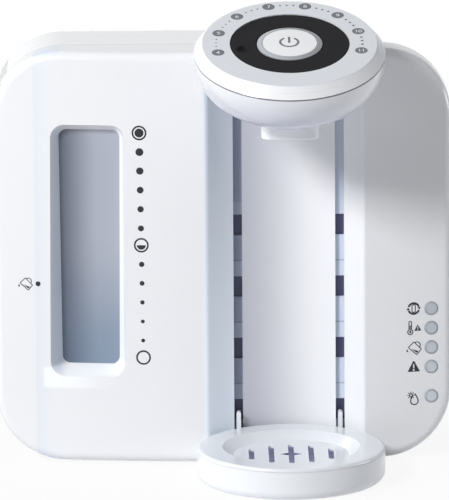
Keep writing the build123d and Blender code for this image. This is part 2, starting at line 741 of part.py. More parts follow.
def nozzle_block():
    """White block under the head that holds the two spouts, let in round the boss."""
    y = AXIS_Y - NOZZLE_AHEAD
    block = slab(AXIS_X - NOZZLE_W / 2, AXIS_X + NOZZLE_W / 2, y - NOZZLE_D / 2, y + NOZZLE_D / 2,
                 NOZZLE_BASE, NOZZLE_TOP)
    block = fillet(block.edges().filter_by(Axis.Z), NOZZLE_R)
    level = block.faces().sort_by(Axis.Z)
    block = fillet(level[0].edges() + level[-1].edges(), NOZZLE_EDGE_R) - boss_form(0)
    for side in (-1, 1):
        block -= rod(SPOUT_R, NOZZLE_BASE - 1, NOZZLE_TOP, AXIS_X + side * SPOUT_X, AXIS_Y)
    return block


def water_spouts():
    """Hot and cold spout through nozzle block and boss."""
    top = BOSS_BASE + 4 * BOWL_WALL
    return Compound([
        tube(SPOUT_R, SPOUT_BORE, NOZZLE_BASE - SPOUT_DROP, top, AXIS_X + side * SPOUT_X, AXIS_Y)
        for side in (-1, 1)
    ])


# ---------------------------------------------------------------- stand


def prongs():
    """Two prongs at the back of the stand that run in the grooves."""
    wall_y = FACE_Y + groove_y(0) + PRONG_LOW * tan(radians(FACE_LEAN))
    cup_y = AXIS_Y + sqrt((TRAY_R - TRAY_WALL / 2) ** 2 - GROOVE_X**2)
    made = []
    for x in groove_xs():
        low_x, high_x = x - PRONG_W / 2, x + PRONG_W / 2
        arm = slab(low_x, high_x, cup_y, wall_y + PRONG_IN, PRONG_LOW, PRONG_LOW + ARM_H)
        bar = slab(low_x, high_x, wall_y - PRONG_STAND, wall_y + PRONG_IN, PRONG_LOW, PRONG_TOP)
        made.append(arm + fillet(bar.edges().filter_by(Axis.Y).group_by(Axis.Z)[-1],
                                 PRONG_W * 0.42))
    return made


def stand_tray():
    """Round stand that catches drips, with its prongs."""
    height = TRAY_TOP - COVER_T - FIT / 2
    cup = rod(TRAY_R, 0, height, AXIS_X, AXIS_Y)
    cup = fillet(cup.faces().sort_by(Axis.Z)[0].edges(), TRAY_ROUND)
    hollow = rod(TRAY_R - TRAY_WALL, TRAY_WALL, height + TRAY_ROUND, AXIS_X, AXIS_Y)
    hollow = fillet(hollow.faces().sort_by(Axis.Z)[0].edges(), TRAY_ROUND - TRAY_WALL)
    left, right = prongs()
    return cup - hollow + left + right


def tray_cover():
    """Lift-off cover: flat rim, sunk grate with slits, and a locating rib."""
    low = TRAY_TOP - COVER_T
    plate = rod(TRAY_R, low, TRAY_TOP)
    plate = fillet(plate.faces().sort_by(Axis.Z)[-1].edges(), COVER_T - FIT)
    floor = TRAY_TOP - GRATE_DROP
    dish = turned((0, floor - GRATE_T), (GRATE_R, floor - GRATE_T), (RECESS_R + GRATE_T, low),
                  (RECESS_R + GRATE_T, TRAY_TOP), (0, TRAY_TOP))
    sunk = turned((0, floor), (GRATE_R, floor), (RECESS_R, TRAY_TOP), (RECESS_R, TRAY_TOP + 1),
                  (0, TRAY_TOP + 1))
    cover = plate + dish - sunk
    rib = TRAY_R - TRAY_WALL - FIT
    cover += tube(rib, rib - GRATE_T, low - GRATE_T, low + COVER_T / 2)
    for step, length in enumerate(SLIT_LENGTHS):
        for side in {-step, step}:
            slit = Pos(side * SLIT_PITCH, 0) * SlotOverall(length, SLIT_W, rotation=90)
            cover -= Pos(0, 0, floor - 2 * GRATE_T) * extrude(slit, 3 * GRATE_T)
    star = Polygon((-STAR_W / 2, 0), (0, -STAR_D / 2), (STAR_W / 2, 0), (0, STAR_D / 2))
    cover -= Pos(0, 0, floor - 2 * GRATE_T) * extrude(star, 3 * GRATE_T)
    return Pos(AXIS_X, AXIS_Y, 0) * cover


# ---------------------------------------------------------------- tank


def tank_block(inset):
    """The rear left of the body, tank and lid together, with its rounded rear edge."""
    block = outline_prism(TANK_INSET + inset, TANK_FRONT + inset, TANK_REAR - inset)
    block &= slab(-BODY_W, TANK_RIGHT - inset, FACE_Y, REAR_Y, TANK_BASE + inset, BODY_TOP)
    return fillet(block.faces().sort_by(Axis.Y)[-1].edges(), TANK_EDGE_R - inset)


def knuckles(offset, gap):
    """Hinge knuckles round the rear edge, two sets along X."""
    made = []
    for x in HINGE_XS:
        low = x + offset * KNUCKLE - KNUCKLE / 2 + FIT - gap
        high = x + offset * KNUCKLE + KNUCKLE / 2 - FIT + gap
        made.append(along_x(HINGE_R + gap, low, high, TANK_REAR, LID_Z - LID_GAP / 2))
    return made


def hinge_bore(radius):
    """Bores for the hinge pins."""
    return [
        along_x(radius, x - 2 * KNUCKLE, x + 2 * KNUCKLE, TANK_REAR, LID_Z - LID_GAP / 2)
        for x in HINGE_XS
    ]


def water_tank():
    """Translucent tank with its hinge knuckles and the spigot of its valve."""
    above = slab(-BODY_W, BODY_W, FACE_Y, REAR_Y + HINGE_R, LID_Z - LID_GAP, HIGH)
    tank = tank_block(0) - above - tank_block(TANK_WALL)
    tank += rod(SPIGOT_R, SPIGOT_END, TANK_BASE + TANK_WALL / 2, FILTER_X, TANK_MID)
    tank -= rod(SPIGOT_BORE, SPIGOT_END - 1, TANK_BASE + 2 * TANK_WALL, FILTER_X, TANK_MID)
    tank -= tank_seal()
    for lid_part in knuckles(0, FIT):
        tank -= lid_part
    for own in knuckles(-1, 0) + knuckles(1, 0):
        tank += own
    for bore in hinge_bore(HINGE_PIN_R):
        tank -= bore
    return tank


def tank_lid():
    """White lid that makes the upper rear edge of the body."""
    below = slab(-BODY_W, BODY_W, FACE_Y, REAR_Y + HINGE_R, 0, LID_Z)
    lid = tank_block(0) - below - tank_block(TANK_WALL)
    for tank_part in knuckles(-1, FIT) + knuckles(1, FIT):
        lid -= tank_part
    for own in knuckles(0, 0):
        lid += own
    for bore in hinge_bore(HINGE_PIN_R + HINGE_FIT):
        lid -= bore
    return lid


def lid_pins():
    """Two steel hinge pins, fast in the tank's knuckles."""
    half = 1.5 * KNUCKLE - FIT
    return Compound([
        along_x(HINGE_PIN_R, x - half, x + half, TANK_REAR, LID_Z - LID_GAP / 2) for x in HINGE_XS
    ])


def tank_seal():
    """Rubber ring on the spigot."""
    z = (SPIGOT_END + TANK_BASE) / 2
    return Pos(FILTER_X, TANK_MID, z) * Torus(SPIGOT_R - SOCKET_GAP / 4, SOCKET_GAP)


def valve_poppet():
    """Valve disc and stem that close the tank's outlet."""
    seat = TANK_BASE + TANK_WALL
    disc = rod(POPPET_R, seat, seat + POPPET_T, FILTER_X, TANK_MID)
    top = GUIDE_Z + GUIDE_T + POPPET_TRAVEL
    return disc + rod(POPPET_STEM_R, SPIGOT_END + 1, top, FILTER_X, TANK_MID)


def valve_spring():
    """Spring between the valve disc and its guide."""
    wire = 0.4
    low = TANK_BASE + TANK_WALL + POPPET_T + wire
    high = GUIDE_Z - wire
    return Compound([
        Pos(FILTER_X, TANK_MID, low + (high - low) * i / 4) * Torus(POPPET_STEM_R + 4 * wire, wire)
        for i in range(5)
    ])


def filter_housing():
    """Upright tube over the outlet that holds the filter and guides the valve."""
    low = TANK_BASE + TANK_WALL
    housing = tube(FILTER_R, FILTER_R - FILTER_WALL, low, FILTER_TOP, FILTER_X, TANK_MID)
    housing += rod(FILTER_R - FILTER_WALL / 2, GUIDE_Z, GUIDE_Z + GUIDE_T, FILTER_X, TANK_MID)
    housing -= rod(POPPET_STEM_R + FIT / 4, low, FILTER_TOP, FILTER_X, TANK_MID)
    for turn in range(6):
        angle = radians(60 * turn)
        reach = FILTER_R / 2
        housing -= rod(FILTER_WALL, low, GUIDE_Z + 2 * GUIDE_T, FILTER_X + reach * cos(angle),
                       TANK_MID + reach * sin(angle))
        port = Pos(FILTER_X, TANK_MID, (low + GUIDE_Z) / 2) * Rot(0, 90, 60 * turn)
        housing -= port * Pos(0, 0, FILTER_R) * Cylinder(FILTER_WALL, 3 * FILTER_WALL)
    return housing


def filter_cartridge():
    """Replaceable filter inside the housing."""
    low = GUIDE_Z + 5 * GUIDE_T
    return fillet(
        rod(FILTER_R - FILTER_WALL - FIT, low, FILTER_TOP - 1, FILTER_X, TANK_MID).edges(), 2)


def filter_cap():
    """Twist cap with a grip bar on top of the filter housing."""
    top = FILTER_TOP + FILTER_WALL
    cap = rod(FILTER_R + FILTER_WALL + FIT, FILTER_TOP + FIT - CAP_H, top, FILTER_X, TANK_MID)
    cap -= rod(FILTER_R + FIT, 0, FILTER_TOP + FIT, FILTER_X, TANK_MID)
    grip = slab(FILTER_X - FILTER_R, FILTER_X + FILTER_R, TANK_MID - FILTER_WALL,
                TANK_MID + FILTER_WALL, top - 1, top + 3 * FILTER_WALL)
    return cap + grip


def tank_dock():
    """Seat under the tank: hollow block on the base plate with the socket's hole."""
    low, high = PLATE_Z + FIT / 3, TANK_BASE - FIT
    plan = outline_prism(TANK_INSET, TANK_FRONT, TANK_REAR)
    dock = plan & slab(-BODY_W, TANK_RIGHT, FACE_Y, REAR_Y, low, high)
    inner = outline_prism(TANK_INSET + WALL, TANK_FRONT + WALL, TANK_REAR - WALL)
    dock -= inner & slab(-BODY_W, TANK_RIGHT - WALL, FACE_Y, REAR_Y, 0, high - WALL)
    dock -= rod(SOCKET_R, low, HIGH, FILTER_X, TANK_MID)
    return dock - suction_way()


def suction_way():
    """Holes for the suction hose."""
    return along_x(HOSE_R + FIT, TANK_RIGHT - 2 * WALL, TANK_RIGHT + 3 * WALL, TANK_MID, hose_z())


def hose_z():
    """Height of the suction hose in the dock, clear of the cover's floor."""
    return PLATE_Z + COVER_WALL + HOSE_R + 2 * FIT


def tank_socket():
    """Cup in the dock that takes the tank's spigot, with the pin that lifts the valve."""
    low, high = PLATE_Z + FIT / 3, TANK_BASE - FIT
    bore = SPIGOT_R + SOCKET_GAP
    cup = rod(SOCKET_R, low, high, FILTER_X, TANK_MID)
    cup -= rod(bore, low + WALL, high, FILTER_X, TANK_MID)
    cup += rod(POPPET_STEM_R, low, SPIGOT_END + 1 - FIT / 2, FILTER_X, TANK_MID)
    return cup - along_x(HOSE_BORE, FILTER_X + POPPET_R, FILTER_X + 2 * SOCKET_R, TANK_MID, hose_z())


# ---------------------------------------------------------------- rear cover and works


def cover_block(inset, y_front, y_back):
    """The right rear of the body, inside the outline, with its rounded rear edge."""
    right = BODY_W / 2 - COVER_INSET - inset
    top = BODY_TOP - COVER_INSET - inset
    low = PLATE_Z + FIT / 3 + inset
    left = TANK_RIGHT + TANK_GAP + inset
    outline = RectangleRounded(2 * right, top - low, COVER_R - inset)
    block = extrude(facing_plane(0, y_back, (top + low) / 2) * outline, y_back - y_front)
    block &= slab(left, BODY_W, y_front, y_back, 0, BODY_TOP)
    return fillet(block.faces().sort_by(Axis.Y)[-1].edges(), EDGE_R - inset)


def cover_screw_places():
    """Places of the rear cover's screws."""
    left = TANK_RIGHT + TANK_GAP + COVER_WALL + SCREW_HEAD_R + 2
    right = BODY_W / 2 - 2 * COVER_INSET
    high = BODY_TOP - 2 * COVER_R
    low = PLATE_Z + COVER_R
    return [(left, low + COVER_R), (left, high), (right, low), (right, high)]


def back_cover():
    """White rear cover with vents and screw pillars."""
    front = SHELL_BACK + FIT / 3
    cover = cover_block(0, front, REAR_Y) - cover_block(COVER_WALL, front - 1, REAR_Y - COVER_WALL)
    for x, z in cover_screw_places():
        cover += along_y(SCREW_HEAD_R + 1, front, REAR_Y - COVER_WALL / 2, x, z)
        cover -= along_y(SCREW_R + FIT / 3, front - 1, REAR_Y + 1, x, z)
        cover -= along_y(SCREW_HEAD_R, REAR_Y - COVER_WALL / 2, REAR_Y + 1, x, z)
    middle = (TANK_RIGHT + BODY_W / 2 - COVER_INSET) / 2
    for step in range(VENT_COUNT):
        z = BODY_TOP * 3 / 4 - step * VENT_PITCH
        vent = SlotOverall(VENT_L, VENT_W)
        cover -= extrude(facing_plane(middle, REAR_Y + 1, z) * vent, 3 * COVER_WALL)
    cover -= along_y(GLAND_R, REAR_Y - 3 * COVER_WALL, REAR_Y + 1, GLAND_X, GLAND_Z)
    return cover - suction_way()


def cover_screws():
    """Screws of the rear cover, into the mid frame."""
    seat = REAR_Y - COVER_WALL / 2
    return Compound([
        along_y(SCREW_R, SHELL_BACK - FRAME_T, seat, x, z)
        + along_y(SCREW_HEAD_R - FIT, seat, REAR_Y - FIT / 3, x, z)
        for x, z in cover_screw_places()
    ])


def cord_gland():
    """Bush in the rear cover where the mains lead enters."""
    back = REAR_Y
    front = REAR_Y - GLAND_L
    gland = along_y(GLAND_R, front, back, GLAND_X, GLAND_Z)
    gland += along_y(GLAND_R + WALL / 2, front, REAR_Y - COVER_WALL, GLAND_X, GLAND_Z)
    return gland - along_y(GLAND_BORE, front - 1, back + 1, GLAND_X, GLAND_Z)


def boiler():
    """Round boiler: a hollow can with rounded ends and its connections."""
    can = rod(BOILER_R, BOILER_LOW, BOILER_LOW + BOILER_H)
    can = fillet(can.faces().sort_by(Axis.Z)[0].edges() + can.faces().sort_by(Axis.Z)[-1].edges(),
                 BOILER_R / 3)
    inside = rod(BOILER_R - BOILER_WALL, BOILER_LOW + BOILER_WALL,
                 BOILER_LOW + BOILER_H - BOILER_WALL)
    inside = fillet(
        inside.faces().sort_by(Axis.Z)[0].edges() + inside.faces().sort_by(Axis.Z)[-1].edges(),
        BOILER_R / 3 - BOILER_WALL)
    can = can + rod(HOSE_R + BOILER_WALL, BOILER_LOW - HOSE_BEND, BOILER_LOW + BOILER_WALL)
    can += rod(HOSE_R + BOILER_WALL, BOILER_LOW + BOILER_H - BOILER_WALL,
               BOILER_LOW + BOILER_H + HOSE_BEND)
    can -= inside
    can -= rod(HOSE_R, 0, HIGH)
    return Pos(BOILER_X, INNER_Y, 0) * can


def heating_element():
    """Tubular element in the boiler: a hairpin that hangs from the lid."""
    radius = 2.5
    reach = BOILER_R / 2
    top = BOILER_LOW + BOILER_H - 3 * BOILER_WALL
    low = BOILER_LOW + BOILER_R
    bend = Pos(0, 0, low) * Rot(90, 0, 0) * Torus(reach, radius)
    bend &= slab(-BOILER_R, BOILER_R, -BOILER_R, BOILER_R, 0, low)
    legs = rod(radius, low, top, -reach) + rod(radius, low, top, reach)
    return Pos(BOILER_X, INNER_Y, 0) * (bend + legs)


def boiler_strap():
    """Band that holds the boiler to the mid frame."""
    z = BOILER_LOW + BOILER_H / 2
    band = tube(BOILER_R + BOILER_WALL + FIT, BOILER_R + FIT / 3, z - BOILER_WALL * 5,
                z + BOILER_WALL * 5)
    reach = INNER_Y - SHELL_BACK
    lug = slab(-BOILER_R / 2, BOILER_R / 2, -reach, -BOILER_R - BOILER_WALL / 2,
               z - BOILER_WALL * 5, z + BOILER_WALL * 5)
    return Pos(BOILER_X, INNER_Y, 0) * (band + lug)


def thermostat():
    """Round thermostat on the boiler's side."""
    x = BOILER_X - BOILER_R
    z = BOILER_LOW + BOILER_H * 3 / 4
    flat = along_x(BOILER_R / 3, x - 3 * BOILER_WALL, x + BOILER_WALL, INNER_Y, z)
    return flat - rod(BOILER_R + FIT / 10, 0, HIGH, BOILER_X, INNER_Y)


def pump():
    """Small water pump: motor can, head, inlet and outlet at its ends, a third port on top."""
    left, right = PUMP_X - PUMP_L / 2, PUMP_X + PUMP_L / 2
    head = along_x(PUMP_R * 1.1, left, PUMP_X - PUMP_L / 8, INNER_Y, PUMP_Z)
    motor = along_x(PUMP_R, PUMP_X - PUMP_L / 8, right, INNER_Y, PUMP_Z)
    ends = along_x(HOSE_R + FIT, left - HOSE_BEND / 2, right + HOSE_BEND / 2, INNER_Y, PUMP_Z)
    return head + motor + ends + rod(HOSE_R + FIT, PUMP_Z, pump_top(), pump_port_x(), INNER_Y)


def pump_port_x():
    """Where the pump's upper port stands along X."""
    return PUMP_X - PUMP_L / 4


def pump_top():
    """Top of that port."""
    return PUMP_Z + PUMP_R + HOSE_BEND


def pump_cradle():
    """Rubber block under the pump's motor."""
    block = slab(PUMP_X, PUMP_X + PUMP_L / 3, INNER_Y - PUMP_R, INNER_Y + PUMP_R,
                 PLATE_Z + FIT / 3 + COVER_WALL, PUMP_Z)
    return block - along_x(PUMP_R + FIT / 10, PUMP_X - PUMP_L, PUMP_X + PUMP_L, INNER_Y, PUMP_Z)


def valve_x(side):
    """Where the valve of one side stands along X."""
    return AXIS_X + side * VALVE_SIZE * 0.7


def water_valves():
    """Two solenoid valves, each with a nipple below and one above."""
    half = VALVE_SIZE / 2
    valves = []
    for side in (-1, 1):
        x = valve_x(side)
        body = slab(x - half, x + half, INNER_Y - half, INNER_Y + half, VALVE_Z, VALVE_Z + VALVE_H)
        body = fillet(body.edges().filter_by(Axis.Z), half / 3)
        coil = along_y(half * 0.8, INNER_Y + half, INNER_Y + half * 1.8, x, VALVE_Z + half)
        nipples = rod(HOSE_R + FIT, VALVE_Z - HOSE_BEND, VALVE_Z + VALVE_H + HOSE_BEND, x, INNER_Y)
        valves.append(body + coil + nipples)
    return Compound(valves)


def hose(*points):
    """Hose along straight runs joined by bends."""
    path = FilletPolyline(*points, radius=HOSE_BEND)
    ring = Circle(HOSE_R) - Circle(HOSE_BORE)
    return sweep(Plane(origin=path @ 0, z_dir=path % 0) * ring, path=path)


def suction_hose():
    """From the tank's socket through the cover's side, up and into the pump."""
    z = hose_z()
    rise_x = TANK_RIGHT + TANK_GAP + COVER_WALL + HOSE_BEND + 1
    return hose((FILTER_X + SOCKET_R, TANK_MID, z), (rise_x, TANK_MID, z),
                (rise_x, INNER_Y, PUMP_Z), (PUMP_X - PUMP_L / 2 - HOSE_BEND / 2, INNER_Y, PUMP_Z))


def boiler_feed_hose():
    """From the pump along the bottom and up into the boiler."""
    return hose((PUMP_X + PUMP_L / 2 + HOSE_BEND / 2, INNER_Y, PUMP_Z),
                (BOILER_X, INNER_Y, PUMP_Z), (BOILER_X, INNER_Y, BOILER_LOW - HOSE_BEND))


def cold_feed_hose():
    """From the pump's upper port to the cold valve."""
    turn_z = VALVE_Z - 4 * HOSE_BEND + FIT
    x = valve_x(-1)
    return hose((pump_port_x(), INNER_Y, pump_top()), (pump_port_x(), INNER_Y, turn_z),
                (x, INNER_Y, turn_z), (x, INNER_Y, VALVE_Z - HOSE_BEND))


def hot_feed_hose():
    """From the boiler's top down to the hot valve."""
    start = BOILER_LOW + BOILER_H + HOSE_BEND
    top = start + 2.5 * HOSE_BEND
    between = BOILER_X - BOILER_R - 3 * HOSE_R
    turn_z = VALVE_Z - 3 * HOSE_BEND
    x = valve_x(1)
    return hose((BOILER_X, INNER_Y, start), (BOILER_X, INNER_Y, top), (between, INNER_Y, top),
                (between, INNER_Y, turn_z), (x, INNER_Y, turn_z), (x, INNER_Y, VALVE_Z - HOSE_BEND))


def outlet_hose(side):
    """From a valve up through the passage and neck into the head, to its spout."""
    x = valve_x(side)
    spout_x = AXIS_X + side * SPOUT_X
    passage = passage_z()
    lean_back = BODY_TOP * tan(radians(FACE_LEAN))
    channel_y = FACE_Y + NECK_IN + lean_back + BOWL_WALL + HOSE_R + FIT
    top = BOSS_BASE + 4 * BOWL_WALL
    return hose(
        (x, INNER_Y, VALVE_Z + VALVE_H + HOSE_BEND),
        (x, INNER_Y, passage - 2 * HOSE_BEND),
        (spout_x, INNER_Y - HOSE_BEND, passage),
        (spout_x, channel_y, passage),
        (spout_x, channel_y, DIAL_Z - 2 * HOSE_R),
        (spout_x, AXIS_Y, top + 2 * HOSE_BEND),
        (spout_x, AXIS_Y, top),
    )


def board_y():
    """Front of the main board."""
    return SHELL_BACK + BOARD_STAND


def board_posts():
    """Posts on the mid frame that carry the main board."""
    return [(BOARD_X + i * BOARD_HALF_W, BOARD_Z + k * BOARD_HALF_H)
            for i in (-1, 1) for k in (-1, 1)]


def main_board():
    """Main circuit board on the mid frame."""
    half_w = BOARD_HALF_W + SCREW_HEAD_R + 1
    half_h = BOARD_HALF_H + SCREW_HEAD_R + 1
    board = slab(BOARD_X - half_w, BOARD_X + half_w, board_y(), board_y() + BOARD_T,
                 BOARD_Z - half_h, BOARD_Z + half_h)
    for x, z in board_posts():
        board -= along_y(SCREW_R + FIT / 3, board_y() - 1, board_y() + 2 * BOARD_T, x, z)
    return board


def board_block(x, z, width, depth, height):
    """Component on the main board, off its middle."""
    low = board_y() + BOARD_T
    block = slab(x - width / 2, x + width / 2, low, low + depth, z - height / 2, z + height / 2)
    block = fillet(block.edges().filter_by(Axis.Y), width / 12)
    return Pos(BOARD_X, 0, BOARD_Z) * block


PARTS = {
    "front_shell": front_shell,
    "window_pane": window_pane,
    "ladder_rails": ladder_rails,
    "mid_frame": mid_frame,
    "frame_screws": frame_screws,
    "base_plate": base_plate,
    "rubber_feet": rubber_feet,
    "key_board": key_board,
    "board_screws": board_screws,
    "key_switches": key_switches,
    "head_bowl": head_bowl,
    "head_ring": head_ring,
    "volume_dial": volume_dial,
    "dial_clip": dial_clip,
    "light_ring": light_ring,
    "start_button": start_button,
    "start_switch": start_switch,
    "start_spring": start_spring,
    "dial_board": dial_board,
    "dial_sensor": dial_sensor,
    "nozzle_block": nozzle_block,
    "water_spouts": water_spouts,
    "stand_tray": stand_tray,
    "tray_cover": tray_cover,
    "water_tank": water_tank,
    "tank_lid": tank_lid,
    "lid_pins": lid_pins,
    "tank_seal": tank_seal,
    "valve_poppet": valve_poppet,
    "valve_spring": valve_spring,
    "filter_housing": filter_housing,
    "filter_cartridge": filter_cartridge,
    "filter_cap": filter_cap,
    "tank_dock": tank_dock,
    "tank_socket": tank_socket,
    "back_cover": back_cover,
    "cover_screws": cover_screws,
    "cord_gland": cord_gland,
    "boiler": boiler,
    "heating_element": heating_element,
    "boiler_strap": boiler_strap,
    "thermostat": thermostat,
    "pump": pump,
    "pump_cradle": pump_cradle,
    "water_valves": water_valves,
    "suction_hose": suction_hose,
    "boiler_feed_hose": boiler_feed_hose,
    "cold_feed_hose": cold_feed_hose,
    "hot_feed_hose": hot_feed_hose,
    "cold_hose": lambda: outlet_hose(-1),
    "hot_hose": lambda: outlet_hose(1),
    "main_board": main_board,
    "transformer": lambda: board_block(TRANSFORMER_X, TRANSFORMER_Z, TRANSFORMER_W,
                                       TRANSFORMER_D, TRANSFORMER_H),
    "relay": lambda: board_block(RELAY_X, RELAY_Z, RELAY_W, RELAY_D, RELAY_H),
}
for key_name, key_z in key_places():
    PARTS[f"{key_name}_button"] = lambda z=key_z: key_button(z)

os.makedirs("parts", exist_ok=True)
for node, make in PARTS.items():
    export_step(make(), f"parts/{node}.step")
    print(node)
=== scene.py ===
# %% [markdown]
# # A baby formula maker, dressed
# A formula maker is a slab of glossy white plastic with a bay for the bottle, a head with a dial over
# it, and a water tank behind. Its solids come from the CAD model, which is loaded here as a fixed
# frame: nothing of it is moved. What is left for Blender is the finish of every part, the printing on
# the face and the dial, and the light. Everything is in metres, unless a comment says millimetres.

import math

import bpy
import numpy as np
from mathutils import Matrix, Vector


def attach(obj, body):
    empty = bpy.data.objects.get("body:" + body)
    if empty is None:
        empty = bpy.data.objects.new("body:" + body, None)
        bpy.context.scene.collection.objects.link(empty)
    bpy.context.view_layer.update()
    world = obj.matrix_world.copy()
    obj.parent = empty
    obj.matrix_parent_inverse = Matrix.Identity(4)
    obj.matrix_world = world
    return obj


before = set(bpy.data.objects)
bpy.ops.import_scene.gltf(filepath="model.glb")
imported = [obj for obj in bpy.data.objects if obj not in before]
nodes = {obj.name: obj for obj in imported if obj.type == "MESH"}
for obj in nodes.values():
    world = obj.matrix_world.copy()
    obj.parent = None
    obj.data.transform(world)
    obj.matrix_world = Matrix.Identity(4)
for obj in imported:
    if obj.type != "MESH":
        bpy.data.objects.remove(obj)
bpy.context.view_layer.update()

# %% [markdown]
# ## The camera
# The object is seen from far away with a long lens, so its uprights stay nearly parallel. The camera
# stands almost square to the face and looks down by about twelve degrees. A camera's own axes are the
# columns of its matrix: right, up, and backwards.

# %% Place the camera
ELEVATION, AZIMUTH, ROLL = math.radians(12.404), math.radians(0.519), math.radians(-0.365)
DISTANCE, TARGET = 3.958, Vector((0.0, 0.00035, 0.135))
SENSOR, LENS, SHIFT_X, SHIFT_Y = 36.0, 451.13, 0.00274, 0.0152

forward = Vector((math.sin(AZIMUTH) * math.cos(ELEVATION), math.cos(AZIMUTH) * math.cos(ELEVATION),
                  -math.sin(ELEVATION)))
level = Vector((math.cos(AZIMUTH), -math.sin(AZIMUTH), 0.0))
upright = level.cross(forward)
right = math.cos(ROLL) * level + math.sin(ROLL) * upright
up = -math.sin(ROLL) * level + math.cos(ROLL) * upright

camera_data = bpy.data.cameras.new("camera")
camera_data.sensor_width, camera_data.lens = SENSOR, LENS
camera_data.shift_x, camera_data.shift_y = SHIFT_X, SHIFT_Y
camera = bpy.data.objects.new("camera", camera_data)
bpy.context.scene.collection.objects.link(camera)
axes = Matrix((right, up, -forward)).transposed().to_4x4()
camera.matrix_world = Matrix.Translation(TARGET - forward * DISTANCE) @ axes
bpy.context.scene.camera = camera
print("camera at", [round(c, 3) for c in camera.matrix_world.translation])

# %% [markdown]
# ## Colours
# A colour picked on a screen runs from 0 to 255 on a curve that suits the eye. Light adds up on a
# straight scale, so a shader wants the linear value. White plastic is written a little below full
# white, because no real surface sends back all the light it gets.


# %% Colours
def rgb(red, green, blue):
    """Shares of 255: over 12.92 where dark, else plus 0.055, over 1.055, to the power 2.4."""
    values = np.array([red, green, blue]) / 255.0
    return (*np.where(values > 0.04045, ((values + 0.055) / 1.055) ** 2.4, values / 12.92), 1.0)


def tint(colour, factor):
    """The same colour, darker or lighter."""
    return (*(min(1.0, c * factor) for c in colour[:3]), 1.0)


WHITE = (1.0, 1.0, 1.0, 1.0)
print("mid grey 128 is", round(float(rgb(128, 128, 128)[0]), 3), "in linear light")

# %% [markdown]
# ## Node trees in a few lines
# Every finish is a small tree of nodes. Writing each link by hand hides the idea, so one helper adds
# a node, sets its plain values and links the sockets that are given. Another starts a material whose
# shader carries the values that are the same all over, and a third feeds it the values that change
# from place to place. A finished material can be opened again, to change its colour in one place.


# %% Start, feed and reopen a material
def add(tree, kind, **sockets):
    """Adds a node; a socket's value may be a number, a colour or another node's output."""
    node = tree.nodes.new(kind)
    for name, value in sockets.items():
        if hasattr(node, name):
            setattr(node, name, value)
            continue
        key = int(name[1:]) if name[0] == "_" else name.replace("_", " ")
        if isinstance(value, bpy.types.NodeSocket):
            tree.links.new(value, node.inputs[key])
        else:
            node.inputs[key].default_value = value
    return node


def start(name, **plain):
    """A material with its shader's plain values set, and the object's own coordinates."""
    material = bpy.data.materials.new(name)
    material.use_nodes = True
    tree = material.node_tree
    shader = tree.nodes["Principled BSDF"]
    for key, value in plain.items():
        shader.inputs[key.replace("_", " ")].default_value = value
    return material, tree, shader, add(tree, "ShaderNodeTexCoord").outputs["Object"]


def feed(node, **outputs):
    """Links other nodes' outputs to the named sockets of a node."""
    for key, output in outputs.items():
        node.id_data.links.new(output, node.inputs[key.replace("_", " ")])


def reopen(material):
    """A finished material's tree, shader and colour so far, and the object's own coordinates."""
    tree = material.node_tree
    shader = tree.nodes["Principled BSDF"]
    plain = shader.inputs["Base Color"].links[0].from_socket
    return tree, shader, plain, add(tree, "ShaderNodeTexCoord").outputs["Object"]


print("four helpers for trees")

# %% [markdown]
# ## Sums, mixes and soft edges
# Most finishes below change with the place on the piece. That takes a few small tools: one step of
# arithmetic, a product, a mix of two colours, a noise, and a ramp that rises between two places. A
# patch is several ramps multiplied, so it is 1 inside all of them and 0 outside of any.


# %% Sums, mixes and soft edges
def maths(tree, operation, *values, **more):
    """One step of arithmetic on numbers or other nodes' outputs."""
    sockets = {f"_{position}": value for position, value in enumerate(values)}
    return add(tree, "ShaderNodeMath", operation=operation, **sockets, **more).outputs[0]


def product(tree, *factors):
    """All factors multiplied, one node for each two."""
    total = factors[0]
    for factor in factors[1:]:
        total = maths(tree, "MULTIPLY", total, factor)
    return total


def mixed(tree, share, first, second, **more):
    """The first colour times one less the share, plus the second times the share."""
    return add(tree, "ShaderNodeMix", data_type="RGBA", _0=share, _6=first, _7=second,
               **more).outputs[2]


def noise(tree, place, scale, detail):
    """Cloudy values from 0 to 1; the scale says how many patches fit into a metre."""
    return add(tree, "ShaderNodeTexNoise", Vector=place, Scale=scale, Detail=detail).outputs["Fac"]


def ramp(tree, value, low, high, first=0.0, last=1.0, kind="SMOOTHSTEP"):
    """From first to last on an S: the way's share, squared, times three less twice the share."""
    return add(tree, "ShaderNodeMapRange", interpolation_type=kind, Value=value, From_Min=low,
               From_Max=high, To_Min=first, To_Max=last).outputs["Result"]


def spread(tree, value, first, last):
    """From first to last evenly, for a value from 0 to 1."""
    return ramp(tree, value, 0.0, 1.0, first, last, kind="LINEAR")


def patch(tree, where, edges):
    """Product of ramps: each edge names a coordinate, the place of 0 and the place of 1."""
    return product(tree, *(ramp(tree, where[name], outer, inner) for name, outer, inner in edges))


def split(tree, place):
    """A vector's X, Y and Z."""
    return add(tree, "ShaderNodeSeparateXYZ", Vector=place).outputs


def bump(tree, height, strength, depth):
    """Tilts the surface as a relief of the given depth would."""
    return add(tree, "ShaderNodeBump", Height=height, Strength=strength,
               Distance=depth).outputs["Normal"]


print("nine helpers for values")

# %% [markdown]
# ## Moulded plastic
# An injection-moulded cover is never perfectly even: its colour drifts a little where the melt
# flowed, its gloss varies in patches, and the polish of the mould leaves a faint orange peel. Three
# noises on the object's own coordinates give these three: a wide one for colour, a middle one for
# roughness, and a fine one for the bump. A textured cover is the same with a finer, stronger bump.
# A polished one has a clear coat as well.

# %% The plastic finish
FLOW, PATCHES, PEEL_DETAIL = (9.0, 3.0), (60.0, 4.0), 2.0  # scale and detail of the noises
GLOSS = {"Coat_Weight": 0.25, "Coat_Roughness": 0.08}


